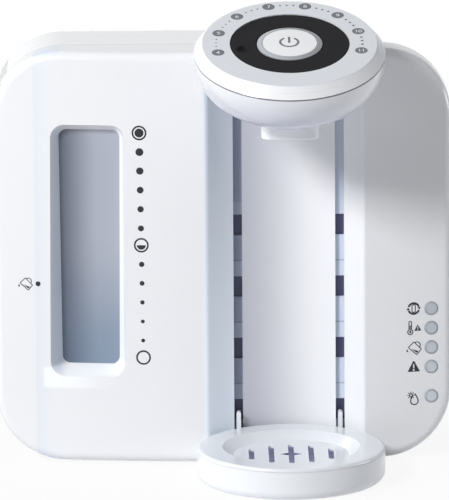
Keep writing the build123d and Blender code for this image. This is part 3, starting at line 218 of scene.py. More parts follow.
def plastic(name, colour, rough, drift=0.03, grain=420.0, depth=0.00002, **plain):
    """Colour drifts between the given one and a darker one; roughness runs over a range."""
    material, tree, shader, place = start(name, **plain)
    peel = noise(tree, place, grain, PEEL_DETAIL)
    feed(shader, Base_Color=mixed(tree, noise(tree, place, *FLOW), tint(colour, 1 - drift), colour),
         Roughness=spread(tree, noise(tree, place, *PATCHES), *rough),
         Normal=bump(tree, peel, 0.5, depth))
    return material


shell_white = plastic("shell_white", rgb(238, 239, 242), (0.16, 0.26), **GLOSS)
head_white = plastic("head_white", rgb(240, 241, 244), (0.14, 0.22), Coat_Weight=0.35,
                     Coat_Roughness=0.06)
lid_white = plastic("lid_white", rgb(245, 247, 250), (0.18, 0.28), **GLOSS)
cover_white = plastic("cover_white", rgb(230, 231, 233), (0.38, 0.5), grain=1500.0, depth=0.00005)
button_white = plastic("button_white", rgb(246, 246, 248), (0.3, 0.38))
frame_grey = plastic("frame_grey", rgb(150, 156, 168), (0.4, 0.5), grain=900.0)
plinth_grey = plastic("plinth_grey", rgb(160, 162, 168), (0.45, 0.6), grain=1400.0, depth=0.00005)
dial_black = plastic("dial_black", rgb(26, 26, 29), (0.42, 0.55), drift=0.12, grain=1800.0,
                     depth=0.00003, Specular_IOR_Level=0.06)
part_black = plastic("part_black", rgb(52, 53, 56), (0.45, 0.6), drift=0.1, grain=1300.0)
pump_grey = plastic("pump_grey", rgb(110, 113, 118), (0.4, 0.55), drift=0.08, grain=1100.0)
valve_white = plastic("valve_white", rgb(214, 213, 208), (0.35, 0.5), grain=1000.0)
print("plastics from", shell_white.name, "to", valve_white.name)

# %% [markdown]
# ## Where the shell's walls are
# White plastic two millimetres thick lets some light through. Light and shade are painted where two
# walls face each other, and to paint only such walls, their places must be known. The bay is a
# leaning cylinder and the window's recess a box behind the face, so both follow from the set-back
# behind the leaning face, together with the coordinates across and up. One weakness is left: the
# set-back is measured from a flat plane, and the face curves back from it by up to 10 mm at the
# window's left. So the patches with a shallow edge also catch a little of the face itself, left of
# the window and below it. Taking the circle's own set-back away first would keep them inside the
# recess.

# %% Places on the shell
LEAN, FACE_FOOT = math.radians(1.8), 0.35  # the face's lean, and its foot's Y in millimetres
BAY_AXIS, BAY_EDGE = (0.0419, -0.035, 0.0), (0.0655, 0.0628)
BAY_LEFT_WALL = (0.0075, 0.0065)


def set_back(tree, sides):
    """Y less Z times the lean's tangent, then times its cosine, less the foot of the face."""
    lifted = maths(tree, "MULTIPLY_ADD", sides["Z"], -math.tan(LEAN), sides["Y"])
    return maths(tree, "MULTIPLY_ADD", lifted, math.cos(LEAN), -FACE_FOOT / 1000.0)


tree, shader, plain, place = reopen(shell_white)
sides = split(tree, place)
behind = set_back(tree, sides)
where = {"across": sides["X"], "up": sides["Z"], "behind": behind}
flat = add(tree, "ShaderNodeCombineXYZ", X=sides["X"], Y=behind).outputs[0]
off_axis = add(tree, "ShaderNodeVectorMath", operation="DISTANCE", _0=flat,
               _1=BAY_AXIS).outputs["Value"]
in_bay = ramp(tree, off_axis, *BAY_EDGE)
on_left_wall = product(tree, in_bay, ramp(tree, sides["X"], *BAY_LEFT_WALL))
print("bay's wall", round(BAY_EDGE[1] * 1000, 1), "mm from its axis")

# %% [markdown]
# ## Painted shade on the shell
# The left half of the bay's back wall gets a lavender painted shade, fading out to the right, and the
# walls on the left of the bay and of the recess get a cool painted shade. Along the joint between the
# shell and the lid, a fine grey line of painted shade stands for the shade in the joint. The painted
# shade multiplies the plastic's colour.

# %% Paint shade on the shell
BAY_BACK = (("across", 0.001, 0.008), ("across", 0.062, 0.018))
RECESS_LEFT = (("behind", 0.0085, 0.014), ("across", -0.101, -0.104), ("across", -0.120, -0.1185))
LAVENDER_SHADE, COOL_SHADE = (0.76, 0.76, 0.82, 1.0), (0.85, 0.92, 1.0, 1.0)
JOINT_Y, JOINT_HALF, JOINT_SHADE = 0.04135, 0.0009, (0.62, 0.63, 0.66, 1.0)

on_back = product(tree, in_bay, patch(tree, where, BAY_BACK))
at_joint = maths(tree, "COMPARE", sides["Y"], JOINT_Y, JOINT_HALF)
in_shade = maths(tree, "MAXIMUM", patch(tree, where, RECESS_LEFT), on_left_wall)
# Painted shade: lavender on the left of the bay's back, a grey line along the joint, and a cool shade
# on the left walls.
tinted = mixed(tree, on_back, WHITE, LAVENDER_SHADE)
tinted = mixed(tree, at_joint, tinted, JOINT_SHADE)
tinted = mixed(tree, in_shade, tinted, COOL_SHADE)
feed(shader, Base_Color=mixed(tree, 1.0, plain, tinted, blend_type="MULTIPLY"))
print("joint line", round(JOINT_HALF * 2000, 1), "mm wide")

# %% [markdown]
# ## The shell's glow
# The bay's left wall, and the right wall and the foot of the window's recess, never get quite dark,
# because they are lit through the plastic. A weak emission stands for that. Real scattering below
# the surface would do it too, but slower, and an exported model would lose it.

# %% Glow of the shell
BAY_GLOW = (0.25, 0.02, 0.0, 0.18)  # from none at the top to most at the foot
RECESS_RIGHT, RIGHT_GLOW = (("behind", 0.0045, 0.009), ("across", -0.069, -0.0655),
                            ("across", -0.0525, -0.0535), ("up", 0.234, 0.229),
                            ("up", 0.046, 0.050)), 0.2
RECESS_FOOT, FOOT_GLOW = (("behind", 0.003, 0.008), ("across", -0.0655, -0.067),
                          ("across", -0.116, -0.113), ("up", 0.0635, 0.061),
                          ("up", 0.048, 0.050)), 0.12

bay_glow = product(tree, on_left_wall, ramp(tree, sides["Z"], *BAY_GLOW))
right_glow = product(tree, patch(tree, where, RECESS_RIGHT), RIGHT_GLOW)
foot_glow = product(tree, patch(tree, where, RECESS_FOOT), FOOT_GLOW)
recess_glow = maths(tree, "ADD", right_glow, foot_glow)
shader.inputs["Emission Color"].default_value = (0.88, 0.94, 1.0, 1.0)
feed(shader, Emission_Strength=maths(tree, "ADD", bay_glow, recess_glow))
print("strongest glow", max(BAY_GLOW[3], RIGHT_GLOW, FOOT_GLOW))

# %% [markdown]
# ## The nozzle block
# The block hangs in the shade of the head, next to the bright wall of the bay. Its left end gets
# painted light, an emission that fades along its length: two ramps along X are added, a short one at
# the very end and a long faint one.

# %% Nozzle finish
NOZZLE_GLOWS = ((0.030, 0.024, 0.0, 0.26), (0.060, 0.032, 0.0, 0.11))  # from X, to X, from, to
nozzle_white = plastic("nozzle_white", rgb(240, 242, 246), (0.18, 0.26), Coat_Weight=0.2,
                       Emission_Color=(0.92, 0.96, 1.0, 1.0))
tree, shader, plain, place = reopen(nozzle_white)
along = split(tree, place)["X"]
# Painted light: an emission that brightens the block's left end.
feed(shader, Emission_Strength=maths(
    tree, "ADD", *(ramp(tree, along, *glow) for glow in NOZZLE_GLOWS)))
print("nozzle: glow fades out at", NOZZLE_GLOWS[1][0])

# %% [markdown]
# ## The stand and its cover
# The stand is a thin white cup under its cover. Light soaks through its wall, so through the slits
# its inside looks lavender rather than black: a weak glow, kept to the inside by the distance from
# the axis. The cross-shaped slit in the middle of the cover is too narrow for light to reach its
# walls, so they are tinted dark, below the dish and inside a small box round the cross.

# %% Stand and cover finishes
STAND_AXIS, STAND_INSIDE, STAND_GLOW = (0.0419, -0.03465, 0.0), 0.0573, 0.28
SLIT_TOP, SLIT_HALF_X, SLIT_HALF_Y = 0.01545, 0.0079, 0.0045

stand_white = plastic("stand_white", rgb(238, 240, 244), (0.16, 0.26),
                      Emission_Color=rgb(122, 124, 150), **GLOSS)
tree, shader, plain, place = reopen(stand_white)
from_axis = add(tree, "ShaderNodeVectorMath", operation="SUBTRACT", _0=place,
                _1=STAND_AXIS).outputs[0]
flat = add(tree, "ShaderNodeVectorMath", operation="MULTIPLY", _0=from_axis,
           _1=(1.0, 1.0, 0.0)).outputs[0]
reach = add(tree, "ShaderNodeVectorMath", operation="LENGTH", _0=flat).outputs["Value"]
feed(shader, Emission_Strength=product(tree, maths(tree, "LESS_THAN", reach, STAND_INSIDE),
                                       STAND_GLOW))

tray_white = plastic("tray_white", rgb(233, 236, 241), (0.16, 0.26), **GLOSS)
tree, shader, plain, place = reopen(tray_white)
sides = split(tree, place)
in_slit = product(tree, maths(tree, "LESS_THAN", sides["Z"], SLIT_TOP),
                  maths(tree, "COMPARE", sides["X"], STAND_AXIS[0], SLIT_HALF_X),
                  maths(tree, "COMPARE", sides["Y"], STAND_AXIS[1], SLIT_HALF_Y))
feed(shader, Base_Color=mixed(tree, in_slit, plain, rgb(104, 106, 158)))
print("stand: glow inside", round(STAND_INSIDE * 1000, 1), "mm")

# %% [markdown]
# ## The rails
# The two rails are one translucent moulding. The left one stands in the shade of the bay's wall and
# the right one takes the light, so the tint drifts from slate to pale blue across the bay. Above
# each of its windows the moulding is thicker, up to a fine line, and so a little paler. The windows
# repeat, so the height is divided by their pitch, and what is left over says where in the pattern a
# point lies.

# %% Rail finish
LIT_FROM, LIT_TO = 0.03, 0.055
WINDOW_LOW, WINDOW_PITCH, LADDER_TOP = 0.0237, 0.0399, 0.165
LINE_AT, LINE_HALF = 0.59, 0.012  # shares of the way from one window's foot to the next
THICK_SHARE, LINE_SHARE = 0.22, 0.35

rail_grey = plastic("rail_grey", rgb(150, 157, 178), (0.32, 0.42), grain=900.0)
tree, shader, plain, place = reopen(rail_grey)
sides = split(tree, place)
lit = ramp(tree, sides["X"], LIT_FROM, LIT_TO, kind="LINEAR")
sided = mixed(tree, lit, plain, rgb(206, 214, 230))
windows = maths(tree, "MULTIPLY_ADD", sides["Z"], 1 / WINDOW_PITCH, -WINDOW_LOW / WINDOW_PITCH)
left_over = maths(tree, "FRACT", windows)
in_ladder = maths(tree, "LESS_THAN", sides["Z"], LADDER_TOP)
thick = product(tree, maths(tree, "LESS_THAN", left_over, LINE_AT), in_ladder, THICK_SHARE)
at_line = product(tree, maths(tree, "COMPARE", left_over, LINE_AT, LINE_HALF), in_ladder,
                  LINE_SHARE)
paler = mixed(tree, thick, sided, rgb(214, 222, 232))
feed(shader, Base_Color=mixed(tree, at_line, paler, rgb(60, 66, 90)))
print("rail pattern repeats every", round(WINDOW_PITCH * 1000, 1), "mm")

# %% [markdown]
# ## The dial's printed flat
# The ring round the dial is finer and greyer than the gloss around it: a spark-eroded texture that
# scatters light so that the print can be read. Its bevel is as glossy as the bowl. Both are one
# moulding, so the finish changes with the height over the dial's plane and not with the piece. That
# plane is tilted, so a Mapping node first turns the object's coordinates into the dial's own.

# %% Ring finish
TILT = math.radians(19.0)
DIAL_CENTRE = np.array([0.0419, -0.03465, 0.2787])
FLAT_FROM, FLAT_TO = -0.0006, -0.0001


def over_dial(tree, place):
    """Height over the dial's plane: the place less the centre, turned by the tilt, and its Z."""
    moved = add(tree, "ShaderNodeVectorMath", operation="SUBTRACT", _0=place,
                _1=tuple(DIAL_CENTRE)).outputs[0]
    turned = add(tree, "ShaderNodeMapping", Vector=moved, Rotation=(-TILT, 0.0, 0.0)).outputs[0]
    return split(tree, turned)["Z"]


ring_finish, tree, shader, place = start("ring_finish")
on_flat = ramp(tree, over_dial(tree, place), FLAT_FROM, FLAT_TO, kind="LINEAR")
fine = noise(tree, place, 1600.0, 2.0)
flat_tone = mixed(tree, fine, rgb(218, 221, 227), rgb(230, 232, 237))
feed(shader, Base_Color=mixed(tree, on_flat, rgb(240, 241, 244), flat_tone),
     Roughness=spread(tree, on_flat, 0.16, 0.48),
     Normal=bump(tree, product(tree, fine, on_flat), 0.5, 0.00006))
print("dial's plane tilted by", round(math.degrees(TILT), 1), "degrees")

# %% [markdown]
# ## The bowl
# The bowl is the glossiest white. Its underside faces the bay and gets a lavender painted shade
# towards the lowest point, and its rim at the seam under the ring gets a dark line of painted shade,
# where little light gets in.

# %% Bowl finish
UNDERSIDE, SEAM_RIM = (0.262, 0.231), (-0.0079, -0.0075)
tree, shader, plain, place = reopen(head_white)
# Painted shade: lavender under the bowl and a dark line at the seam.
lowness = ramp(tree, split(tree, place)["Z"], *UNDERSIDE)
shaded = mixed(tree, lowness, WHITE, (0.80, 0.81, 0.90, 1.0))
at_seam = ramp(tree, over_dial(tree, place), *SEAM_RIM)
shaded = mixed(tree, at_seam, shaded, (0.45, 0.46, 0.5, 1.0))
feed(shader, Base_Color=mixed(tree, 1.0, plain, shaded, blend_type="MULTIPLY"))
print("bowl tinted below", UNDERSIDE[0])

# %% [markdown]
# ## Clear parts
# The tank is tinted clear plastic, and the keys and the light ring are milky lenses. The colour of
# each runs along one axis: the tank is darker towards its bottom, the light ring has painted shade on
# its right, away from the key lamp, and the keys are darker towards their top. A little cloud keeps
# them from looking like paint. The tank lets some light through by its alpha, which an exported model
# keeps.

# %% Clear finishes
CLOUD, CLOUD_TINT, ROUGHER = (14.0, 2.0), 0.16, 1.6


def clear(name, light, dark, rough, axis, low, high, **plain):
    """Colour runs from dark at the low end of one axis to light at its high end, with a little cloud
    in it.
    """
    material, tree, shader, place = start(name, **plain)
    cloud = noise(tree, place, *CLOUD)
    along = ramp(tree, split(tree, place)[axis], low, high)
    soft = maths(tree, "MULTIPLY_ADD", cloud, CLOUD_TINT, along, use_clamp=True)
    feed(shader, Base_Color=mixed(tree, soft, dark, light),
         Roughness=spread(tree, cloud, rough, rough * ROUGHER))
    return material


clear_tank = clear("clear_tank", rgb(232, 238, 244), rgb(190, 203, 220), 0.08, "Z", 0.05, 0.24,
                   Alpha=0.55)
# Painted shade: the light ring is darker on its right, away from the key lamp.
lens_grey = clear("lens_grey", rgb(148, 151, 156), rgb(184, 188, 194), 0.22, "X", 0.022, 0.062)
# The keys are darker towards their top.
key_grey = clear("key_grey", rgb(190, 196, 204), rgb(212, 219, 226), 0.24, "Z", 0.03, 0.11)
print("clear:", clear_tank.name, lens_grey.name, key_grey.name)

# %% [markdown]
# ## The window's pane
# The pane is smoked, and it closes a deep narrow chamber. Light comes in from the right, so the
# chamber is darkest along its left side and dim again near its bottom, where the water would stand.
# Two soft ramps, across and up, carry that into the tint of the plastic.

# %% The pane's finish
PANE_ACROSS, PANE_UP, PANE_CLOUD = (-0.115, -0.071), (0.06, 0.15), 0.1
smoky_pane, tree, shader, place = start("smoky_pane", Alpha=0.94)
sides = split(tree, place)
cloud = noise(tree, place, *CLOUD)
across = ramp(tree, sides["X"], *PANE_ACROSS, kind="SMOOTHERSTEP")
clouded = maths(tree, "MULTIPLY_ADD", cloud, PANE_CLOUD, across, use_clamp=True)
dim = mixed(tree, clouded, rgb(64, 78, 100), rgb(130, 147, 168))
open_air = mixed(tree, clouded, rgb(48, 60, 80), rgb(173, 178, 191))
feed(shader, Base_Color=mixed(tree, ramp(tree, sides["Z"], *PANE_UP), dim, open_air),
     Roughness=spread(tree, cloud, 0.1, 0.2))
print("pane: dark on the left, dim at the bottom")

# %% [markdown]
# ## Rubber, metal and boards
# These sit inside or underneath and are seen only when the tank is out or the part is turned over.
# Drawn and brushed metal has fine streaks, so its noise is stretched along one axis. A circuit
# board's solder mask shows its tracks as a faint raised grid. Hoses are milky silicone.


# %% The remaining finishes
def metal(name, colour, rough, stretch):
    """Streaks: a noise squeezed along the axes whose stretch is large, in roughness and bump."""
    material, tree, shader, place = start(name, Metallic=1.0)
    squeezed = add(tree, "ShaderNodeMapping", Vector=place, Scale=stretch).outputs[0]
    streak = noise(tree, squeezed, *PATCHES)
    feed(shader, Base_Color=mixed(tree, streak, tint(colour, 0.85), colour),
         Roughness=spread(tree, streak, *rough), Normal=bump(tree, streak, 0.3, 0.00002))
    return material


screw_steel = metal("screw_steel", rgb(196, 198, 202), (0.28, 0.42), (1.0, 1.0, 12.0))
spring_steel = metal("spring_steel", rgb(205, 206, 210), (0.2, 0.34), (12.0, 12.0, 1.0))
rubber_black = plastic("rubber_black", rgb(48, 48, 50), (0.7, 0.85), drift=0.15, grain=700.0,
                       depth=0.0001)
hose_clear = plastic("hose_clear", rgb(222, 222, 214), (0.35, 0.45), drift=0.05, grain=600.0)
filter_grey = plastic("filter_grey", rgb(128, 132, 138), (0.6, 0.75), drift=0.25, grain=260.0,
                      depth=0.0003)

board_green, tree, shader, place = start("board_green", Roughness=0.35)
tracks = add(tree, "ShaderNodeTexBrick", Vector=place, Scale=120.0, Color1=rgb(22, 92, 52),
             Color2=rgb(26, 104, 60), Mortar=rgb(40, 128, 78), Mortar_Size=0.035).outputs
feed(shader, Base_Color=tracks["Color"], Normal=bump(tree, tracks["Fac"], 0.4, 0.00005))
print("inside:", screw_steel.name, spring_steel.name, rubber_black.name, board_green.name)

# %% [markdown]
# ## Dressing the nodes
# Each CAD node gets one finish. The table is read as: this finish, on these nodes. What it prints at
# the end is the list of nodes that were forgotten, which has to be empty.

# %% Dress every node
FINISHES = {
    shell_white: "front_shell",
    lid_white: "tank_lid",
    tray_white: "tray_cover",
    nozzle_white: "nozzle_block",
    stand_white: "stand_tray",
    head_white: "head_bowl",
    ring_finish: "head_ring",
    cover_white: "back_cover filter_cap filter_housing",
    smoky_pane: "window_pane",
    clear_tank: "water_tank",
    frame_grey: "mid_frame tank_dock tank_socket",
    rail_grey: "ladder_rails",
    plinth_grey: "base_plate",
    rubber_black: "rubber_feet tank_seal pump_cradle cord_gland",
    dial_black: "volume_dial dial_clip",
    lens_grey: "light_ring",
    button_white: "start_button",
    key_grey: "filter_button temperature_button fill_button clean_button descale_button",
    board_green: "key_board dial_board main_board",
    part_black: "key_switches start_switch dial_sensor relay transformer thermostat",
    screw_steel: "frame_screws board_screws cover_screws lid_pins boiler_strap heating_element",
    spring_steel: "start_spring valve_spring boiler water_spouts",
    valve_white: "valve_poppet water_valves",
    filter_grey: "filter_cartridge",
    pump_grey: "pump",
    hose_clear: "suction_hose boiler_feed_hose cold_feed_hose hot_feed_hose cold_hose hot_hose",
}
dressed = set()
for material, names in FINISHES.items():
    for name in names.split():
        for slot in nodes[name].material_slots:
            slot.material = material
        dressed.add(name)
print("dressed", len(dressed), "of", len(nodes), sorted(set(nodes) - dressed))

# %% [markdown]
# ## Flat shapes on grids
# Pad printing is a film of ink a few hundredths of a millimetre thick. Here it is a surface that lies
# just over the plastic. A few flat shapes are enough, each a grid of points in millimetres: a ring,
# whose rows are radii and whose columns are angles, a stroke, which carries a width along a path, and
# a filled outline, which runs from its middle to its edge.


# %% Paths and grids
def arc(x, y, radius, first=0.0, last=360.0, steps=40, squash=1.0):
    """Points on an ellipse: the centre plus radius times cosine and sine of an even run of angles."""
    angle = np.radians(np.linspace(first, last, steps))
    return np.stack([x + radius * np.cos(angle), y + squash * radius * np.sin(angle)], 1)


def line(*corners):
    """Start and end of each straight run, so a corner counts twice and both its sides are square."""
    corners = np.array(corners, float)
    return np.stack([corners[:-1], corners[1:]], 1).reshape(-1, 2)


def ring(x, y, inner, outer, first=0.0, last=360.0, steps=40):
    """Grid between two circles: rows are the radii, columns the angles."""
    return np.stack([arc(x, y, inner, first, last, steps), arc(x, y, outer, first, last, steps)])


def stroke(path, width):
    """Grid along a path: each point moved half the width to both sides, square to the path."""
    along = np.gradient(path, axis=0)
    along /= np.maximum(np.linalg.norm(along, axis=1, keepdims=True), 1e-9)
    side = np.stack([-along[:, 1], along[:, 0]], 1) * width / 2
    return np.stack([path - side, path + side])


def filled(path):
    """Grid from a shape's middle out to its outline."""
    middle = np.broadcast_to(path.mean(0), path.shape)
    return np.stack([middle, path])


def solid(*corners):
    """A filled shape with straight sides."""
    return filled(line(*corners, corners[0]))


print("a dot is a grid of", ring(0, 0, 0, 1).shape[:2], "points")

# %% [markdown]
# ## From grids to a printed piece
# The flat grids of one print are joined into one mesh: a placing function lays their points on the
# face or on the dial, and each cell becomes a face with four corners. A drawing may run either way
# round, so a face whose normal points into the plastic is turned over. The print then rides on the
# body that it is printed on.

# %% Make a printed piece
INK = 0.03  # millimetres over the surface


def quads(rows, columns, first=0):
    """Corners of every cell of a grid whose points are numbered row by row from the first."""
    index = first + np.arange(rows * columns).reshape(rows, columns)
    return np.stack([index[:-1, :-1], index[:-1, 1:], index[1:, 1:], index[1:, :-1]],
                    -1).reshape(-1, 4)


def new_piece(name, points, faces, material):
    """A mesh of points in metres and faces, linked to the scene."""
    mesh = bpy.data.meshes.new(name)
    mesh.from_pydata(points.tolist(), [], faces.tolist())
    mesh.materials.append(material)
    piece = bpy.data.objects.new(name, mesh)
    bpy.context.scene.collection.objects.link(piece)
    return piece


def turn_outward(mesh, place):
    """Turns over each face whose normal has a negative product with the way out of the surface."""
    foot, tip = (place(np.zeros(1), np.zeros(1), lift)[0] for lift in (0.0, 1.0))
    normals = np.empty(len(mesh.polygons) * 3)
    mesh.polygons.foreach_get("normal", normals)
    for index in np.flatnonzero(normals.reshape(-1, 3) @ (tip - foot) < 0):
        mesh.polygons[int(index)].flip()
    mesh.update()


def printed(name, grids, place, body, material, lift=INK):
    """One mesh from many flat grids, whose points go through place()."""
    starts = np.cumsum([0] + [grid.shape[0] * grid.shape[1] for grid in grids])
    faces = np.concatenate([quads(*grid.shape[:2], first) for grid, first in zip(grids, starts)])
    flat = np.concatenate([grid.reshape(-1, 2) for grid in grids])
    piece = new_piece(name, place(flat[:, 0], flat[:, 1], lift), faces, material)
    piece.data.validate()
    turn_outward(piece.data, place)
    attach(piece, body)
    print(name, len(piece.data.polygons), "faces")


print("ink stands", INK, "mm proud")

# %% [markdown]
# ## Where the ink lies
# The face is a cylinder of 640 mm radius that leans back by 1.8 degrees, so a point on it follows
# from the circle's height over its chord and a turn about the foot of the face. The dial's plane is
# tilted by 19 degrees about its centre. All placing functions take millimetres and give metres.

# %% Placing functions
FACE_RADIUS = 640.0


def leant(x, back, slope):
    """Turned back by the lean, with its sine and cosine, about the foot of the face.

    Y is the foot plus back times cosine plus slope times sine, and Z is slope times cosine less
    back times sine.
    """
    y = FACE_FOOT + back * math.cos(LEAN) + slope * math.sin(LEAN)
    return np.stack([x, y, slope * math.cos(LEAN) - back * math.sin(LEAN)], 1) / 1000.0


def on_face(x, z, lift):
    """Radius less the root of its square less x squared, less the lift, and then leant."""
    back = FACE_RADIUS - np.sqrt(FACE_RADIUS**2 - x**2) - lift
    return leant(x, back, (z + back * math.sin(LEAN)) / math.cos(LEAN))


def on_dial(x, y, lift):
    """Y and the lift turned by the tilt's sine and cosine, then moved to the dial's centre."""
    forward_part = y * math.cos(TILT) - lift * math.sin(TILT)
    height_part = y * math.sin(TILT) + lift * math.cos(TILT)
    return np.stack([x, forward_part, height_part], 1) / 1000.0 + DIAL_CENTRE


ink_dark = plastic("ink_dark", rgb(22, 24, 31), (0.35, 0.5), drift=0.15, grain=900.0)
ink_white = plastic("ink_white", rgb(240, 240, 242), (0.4, 0.5), grain=900.0)
ink_grey = plastic("ink_grey", rgb(108, 111, 118), (0.4, 0.55), drift=0.1, grain=900.0)
print("face at x = 100 mm lies", round(on_face(np.array([100.0]), np.array([0.0]), 0)[0, 1], 4))

# %% [markdown]
# ## Level marks beside the window
# A column of dots shows how full the tank is. It starts with a full moon, passes a half moon in the
# middle and ends with an empty ring, and its dots shrink on the way down.

# %% Level marks
MARK_Z = [213.9, 201.7, 189.6, 177.4, 165.1, 152.8, 142.0, 129.7, 117.5, 105.2, 92.9, 80.6, 69.6]
MARK_X = np.linspace(-52.45, -50.85, len(MARK_Z))
DOT_SIZES = {1: 5.0, 2: 4.65, 3: 4.3, 4: 4.0, 5: 3.8, 7: 3.4, 8: 3.1, 9: 2.8, 10: 2.45, 11: 2.5}
MOON_INNER, MOON_OUTER, MOON_DISC = 3.62, 4.7, 2.85
FULL_MOON, HALF_MOON, EMPTY_MOON = 0, 6, 12

level_grids = [ring(MARK_X[k], MARK_Z[k], MOON_INNER, MOON_OUTER)
               for k in (FULL_MOON, HALF_MOON, EMPTY_MOON)]
level_grids += [ring(MARK_X[k], MARK_Z[k], 0.0, MOON_DISC, first, 360.0)
                for k, first in ((FULL_MOON, 0.0), (HALF_MOON, 180.0))]
level_grids += [ring(MARK_X[k], MARK_Z[k], 0.0, size / 2) for k, size in DOT_SIZES.items()]
printed("level_marks", level_grids, on_face, "housing", ink_dark)

# %% [markdown]
# ## Pictograms by the keys
# Each key has a small generic sign: a filter in a turning ring, a thermometer with a warning
# triangle, a jug that pours, a triangle, and a drop for descaling. They are strokes of one pen and a
# few filled shapes, as a sign painter would draw them, in millimetres about their own middle.

# %% Shapes of the pictograms
PEN = 0.6
WARNING_PARTS = (((-0.07, 1.0), (-1.0, -0.75), (-0.14, -0.75)),
                 ((0.07, 1.0), (0.14, -0.75), (1.0, -0.75)),
                 ((-0.3, -0.75), (0.3, -0.75), (0.3, -0.6), (-0.3, -0.6)),
                 ((-0.3, 0.5), (0.3, 0.5), (0.0, 1.0)),
                 ((-0.2, -0.3), (0.2, -0.3), (0.2, -0.18), (-0.2, -0.18)))


def warning(size):
    """Solid triangle with a clear bar and dot: the filled parts leave them open."""
    return [size * solid(*corners) for corners in WARNING_PARTS]


def jug():
    """A cup tipped to the left, its handle above it, with a little water in its lower corner."""
    cup = ((-4.2, 0.65), (-0.55, 4.2), (4.2, -0.65), (1.3, -4.2), (-4.2, 0.65))
    walls = [stroke(line(first, second), PEN) for first, second in zip(cup, cup[1:])]
    handle = stroke(arc(1.4, 2.0, 2.1, -40, 138, 18), PEN)
    return walls + [handle, solid((-2.1, -0.3), (0.2, -1.1), (2.5, -1.9), (1.4, -3.1))]


def drop(size):
    """Width: the angle's sine times its half's sine to the power 1.5. Height: its cosine."""
    angle = np.radians(np.linspace(0, 360, 40))
    return np.stack([size * np.sin(angle) * np.sin(angle / 2) ** 1.5, size * 1.15 * np.cos(angle)], 1)


filter_sign = [stroke(arc(0, 0, 3.45, a, a + 142, 24), PEN * 2.1) for a in (20, 200)]
filter_sign += [stroke(line((x, -2.0), (x, 2.0)), PEN) for x in (-1.05, 1.05)]
filter_sign += [stroke(arc(0, s * 2.0, 1.05, 90 - s * 90, 270 - s * 90, 12, 0.4), PEN)
                for s in (-1, 1)]
filter_sign += [solid((s * 2.4, s * 0.9), (s * 4.6, s * 0.9), (s * 3.6, -s * 0.8)) for s in (-1, 1)]
thermometer = [stroke(arc(0, -2.6, 1.6, 120, 420, 24), PEN * 1.2), ring(0, -2.6, 0, 0.7)]
thermometer += [stroke(line((s * 0.8, -1.2), (s * 0.8, 3.6)), PEN * 1.1) for s in (-1, 1)]
thermometer += [stroke(arc(0, 3.6, 0.8, 0, 180, 12), PEN), stroke(line((0, -2.6), (0, 1.6)), PEN)]
spark = np.array([-2.2, 2.2])
descale_sign = [stroke(drop(3.4)[4:34], PEN * 1.2), ring(*spark, 0.6, 1.3)]
descale_sign += [stroke(line(spark + 1.5 * ray, spark + 2.4 * ray), PEN)
                 for ray in arc(0, 0, 1.0, 0, 315, 8)]
print("strokes and shapes of the filter sign:", len(filter_sign))

# %% [markdown]
# ## The pictograms in their places
# Each sign is scaled about its middle and moved to its place beside its key. The signs of the keys
# are one print and the fill sign on the other side of the face is another, as in a pad printer's
# two strokes.

# %% Pictograms
DRIP = [filled(drop(0.8))]
KEY_SIGNS = ((filter_sign, 121.0, 97.6), (thermometer, 118.8, 85.1), (warning(2.3), 123.6, 84.8),
             (jug(), 121.7, 71.8), (DRIP, 116.9, 70.5), (warning(4.0), 121.0, 59.7),
             (descale_sign, 121.4, 39.2))
FILL_SIGNS = ((jug(), -124.9, 115.4, 0.94), ([ring(0.0, 0.0, 0.0, 1.6)], -117.4, 115.8),
              (DRIP, -129.5, 114.5))


def shifted(grids, x, z, scale=1.0):
    """Scale times the drawing, plus its place."""
    return [grid * scale + np.array([x, z]) for grid in grids]


printed("key_signs", [grid for sign in KEY_SIGNS for grid in shifted(*sign)], on_face, "housing",
        ink_dark)
printed("fill_sign", [grid for sign in FILL_SIGNS for grid in shifted(*sign)], on_face, "housing",
        ink_dark)

# %% [markdown]
# ## Rims of the keys
# Each key is a small lens in a darker rim. The rim is a flat ring on the cap. It rides on its own
# key, so it goes in when the key is pressed. The keys stand square to the face, which has turned by
# about 12 degrees where they are.

# %% Key rims
KEY_X, KEY_TURN, KEY_PROUD = 132.3, 132.3 / FACE_RADIUS, 0.5
KEY_HEIGHTS = {"filter": 97.7, "temperature": 85.1, "fill": 72.5, "clean": 59.9, "descale": 40.9}
RIM_INNER, RIM_OUTER = 3.25, 3.85
rim_grey = plastic("rim_grey", rgb(166, 170, 181), (0.3, 0.4), grain=900.0)


def on_key(height):
    """Placing on one key's cap: its plane turned about its upright, set back, then leant."""
    def place(x, z, lift):
        depth = -KEY_PROUD - lift
        side = KEY_X + x * math.cos(KEY_TURN) - depth * math.sin(KEY_TURN)
        back = (FACE_RADIUS - math.sqrt(FACE_RADIUS**2 - KEY_X**2) + x * math.sin(KEY_TURN)
                + depth * math.cos(KEY_TURN))
        return leant(side, back, z + height)
    return place


for name, height in KEY_HEIGHTS.items():
    printed(f"{name}_rim", [ring(0.0, 0.0, RIM_INNER, RIM_OUTER)], on_key(height), f"{name}_key",
            rim_grey)

# %% [markdown]
# ## Dark windows in the rails
# Behind the four windows of each rail lies a dark blue strip of painted shade, which stands for the
# dark inside seen through them. Behind the four windows of each rail lies a dark blue strip, so that
# the works behind are not seen.
# Each strip is a thin closed box that leans back with the face.

# %% Strips behind the windows
STRIP_FRONT, STRIP_BACK, STRIP_HALF = 24.75, 25.55, 4.0  # millimetres behind the face's foot
STRIP_LOW, STRIP_HIGH = 22.0, 160.0
BAY_MIDDLE, RAIL_OUT = 41.9, 32.4
BOX_FACES = np.array([(0, 1, 3, 2), (4, 6, 7, 5), (0, 4, 5, 1), (2, 3, 7, 6), (0, 2, 6, 4),
                      (1, 5, 7, 3)])
# Painted shade: dark blue strips behind the windows, where there is only shade.
window_shade_blue = plastic("window_shade_blue", rgb(78, 80, 112), (0.4, 0.5), drift=0.1, grain=700.0)


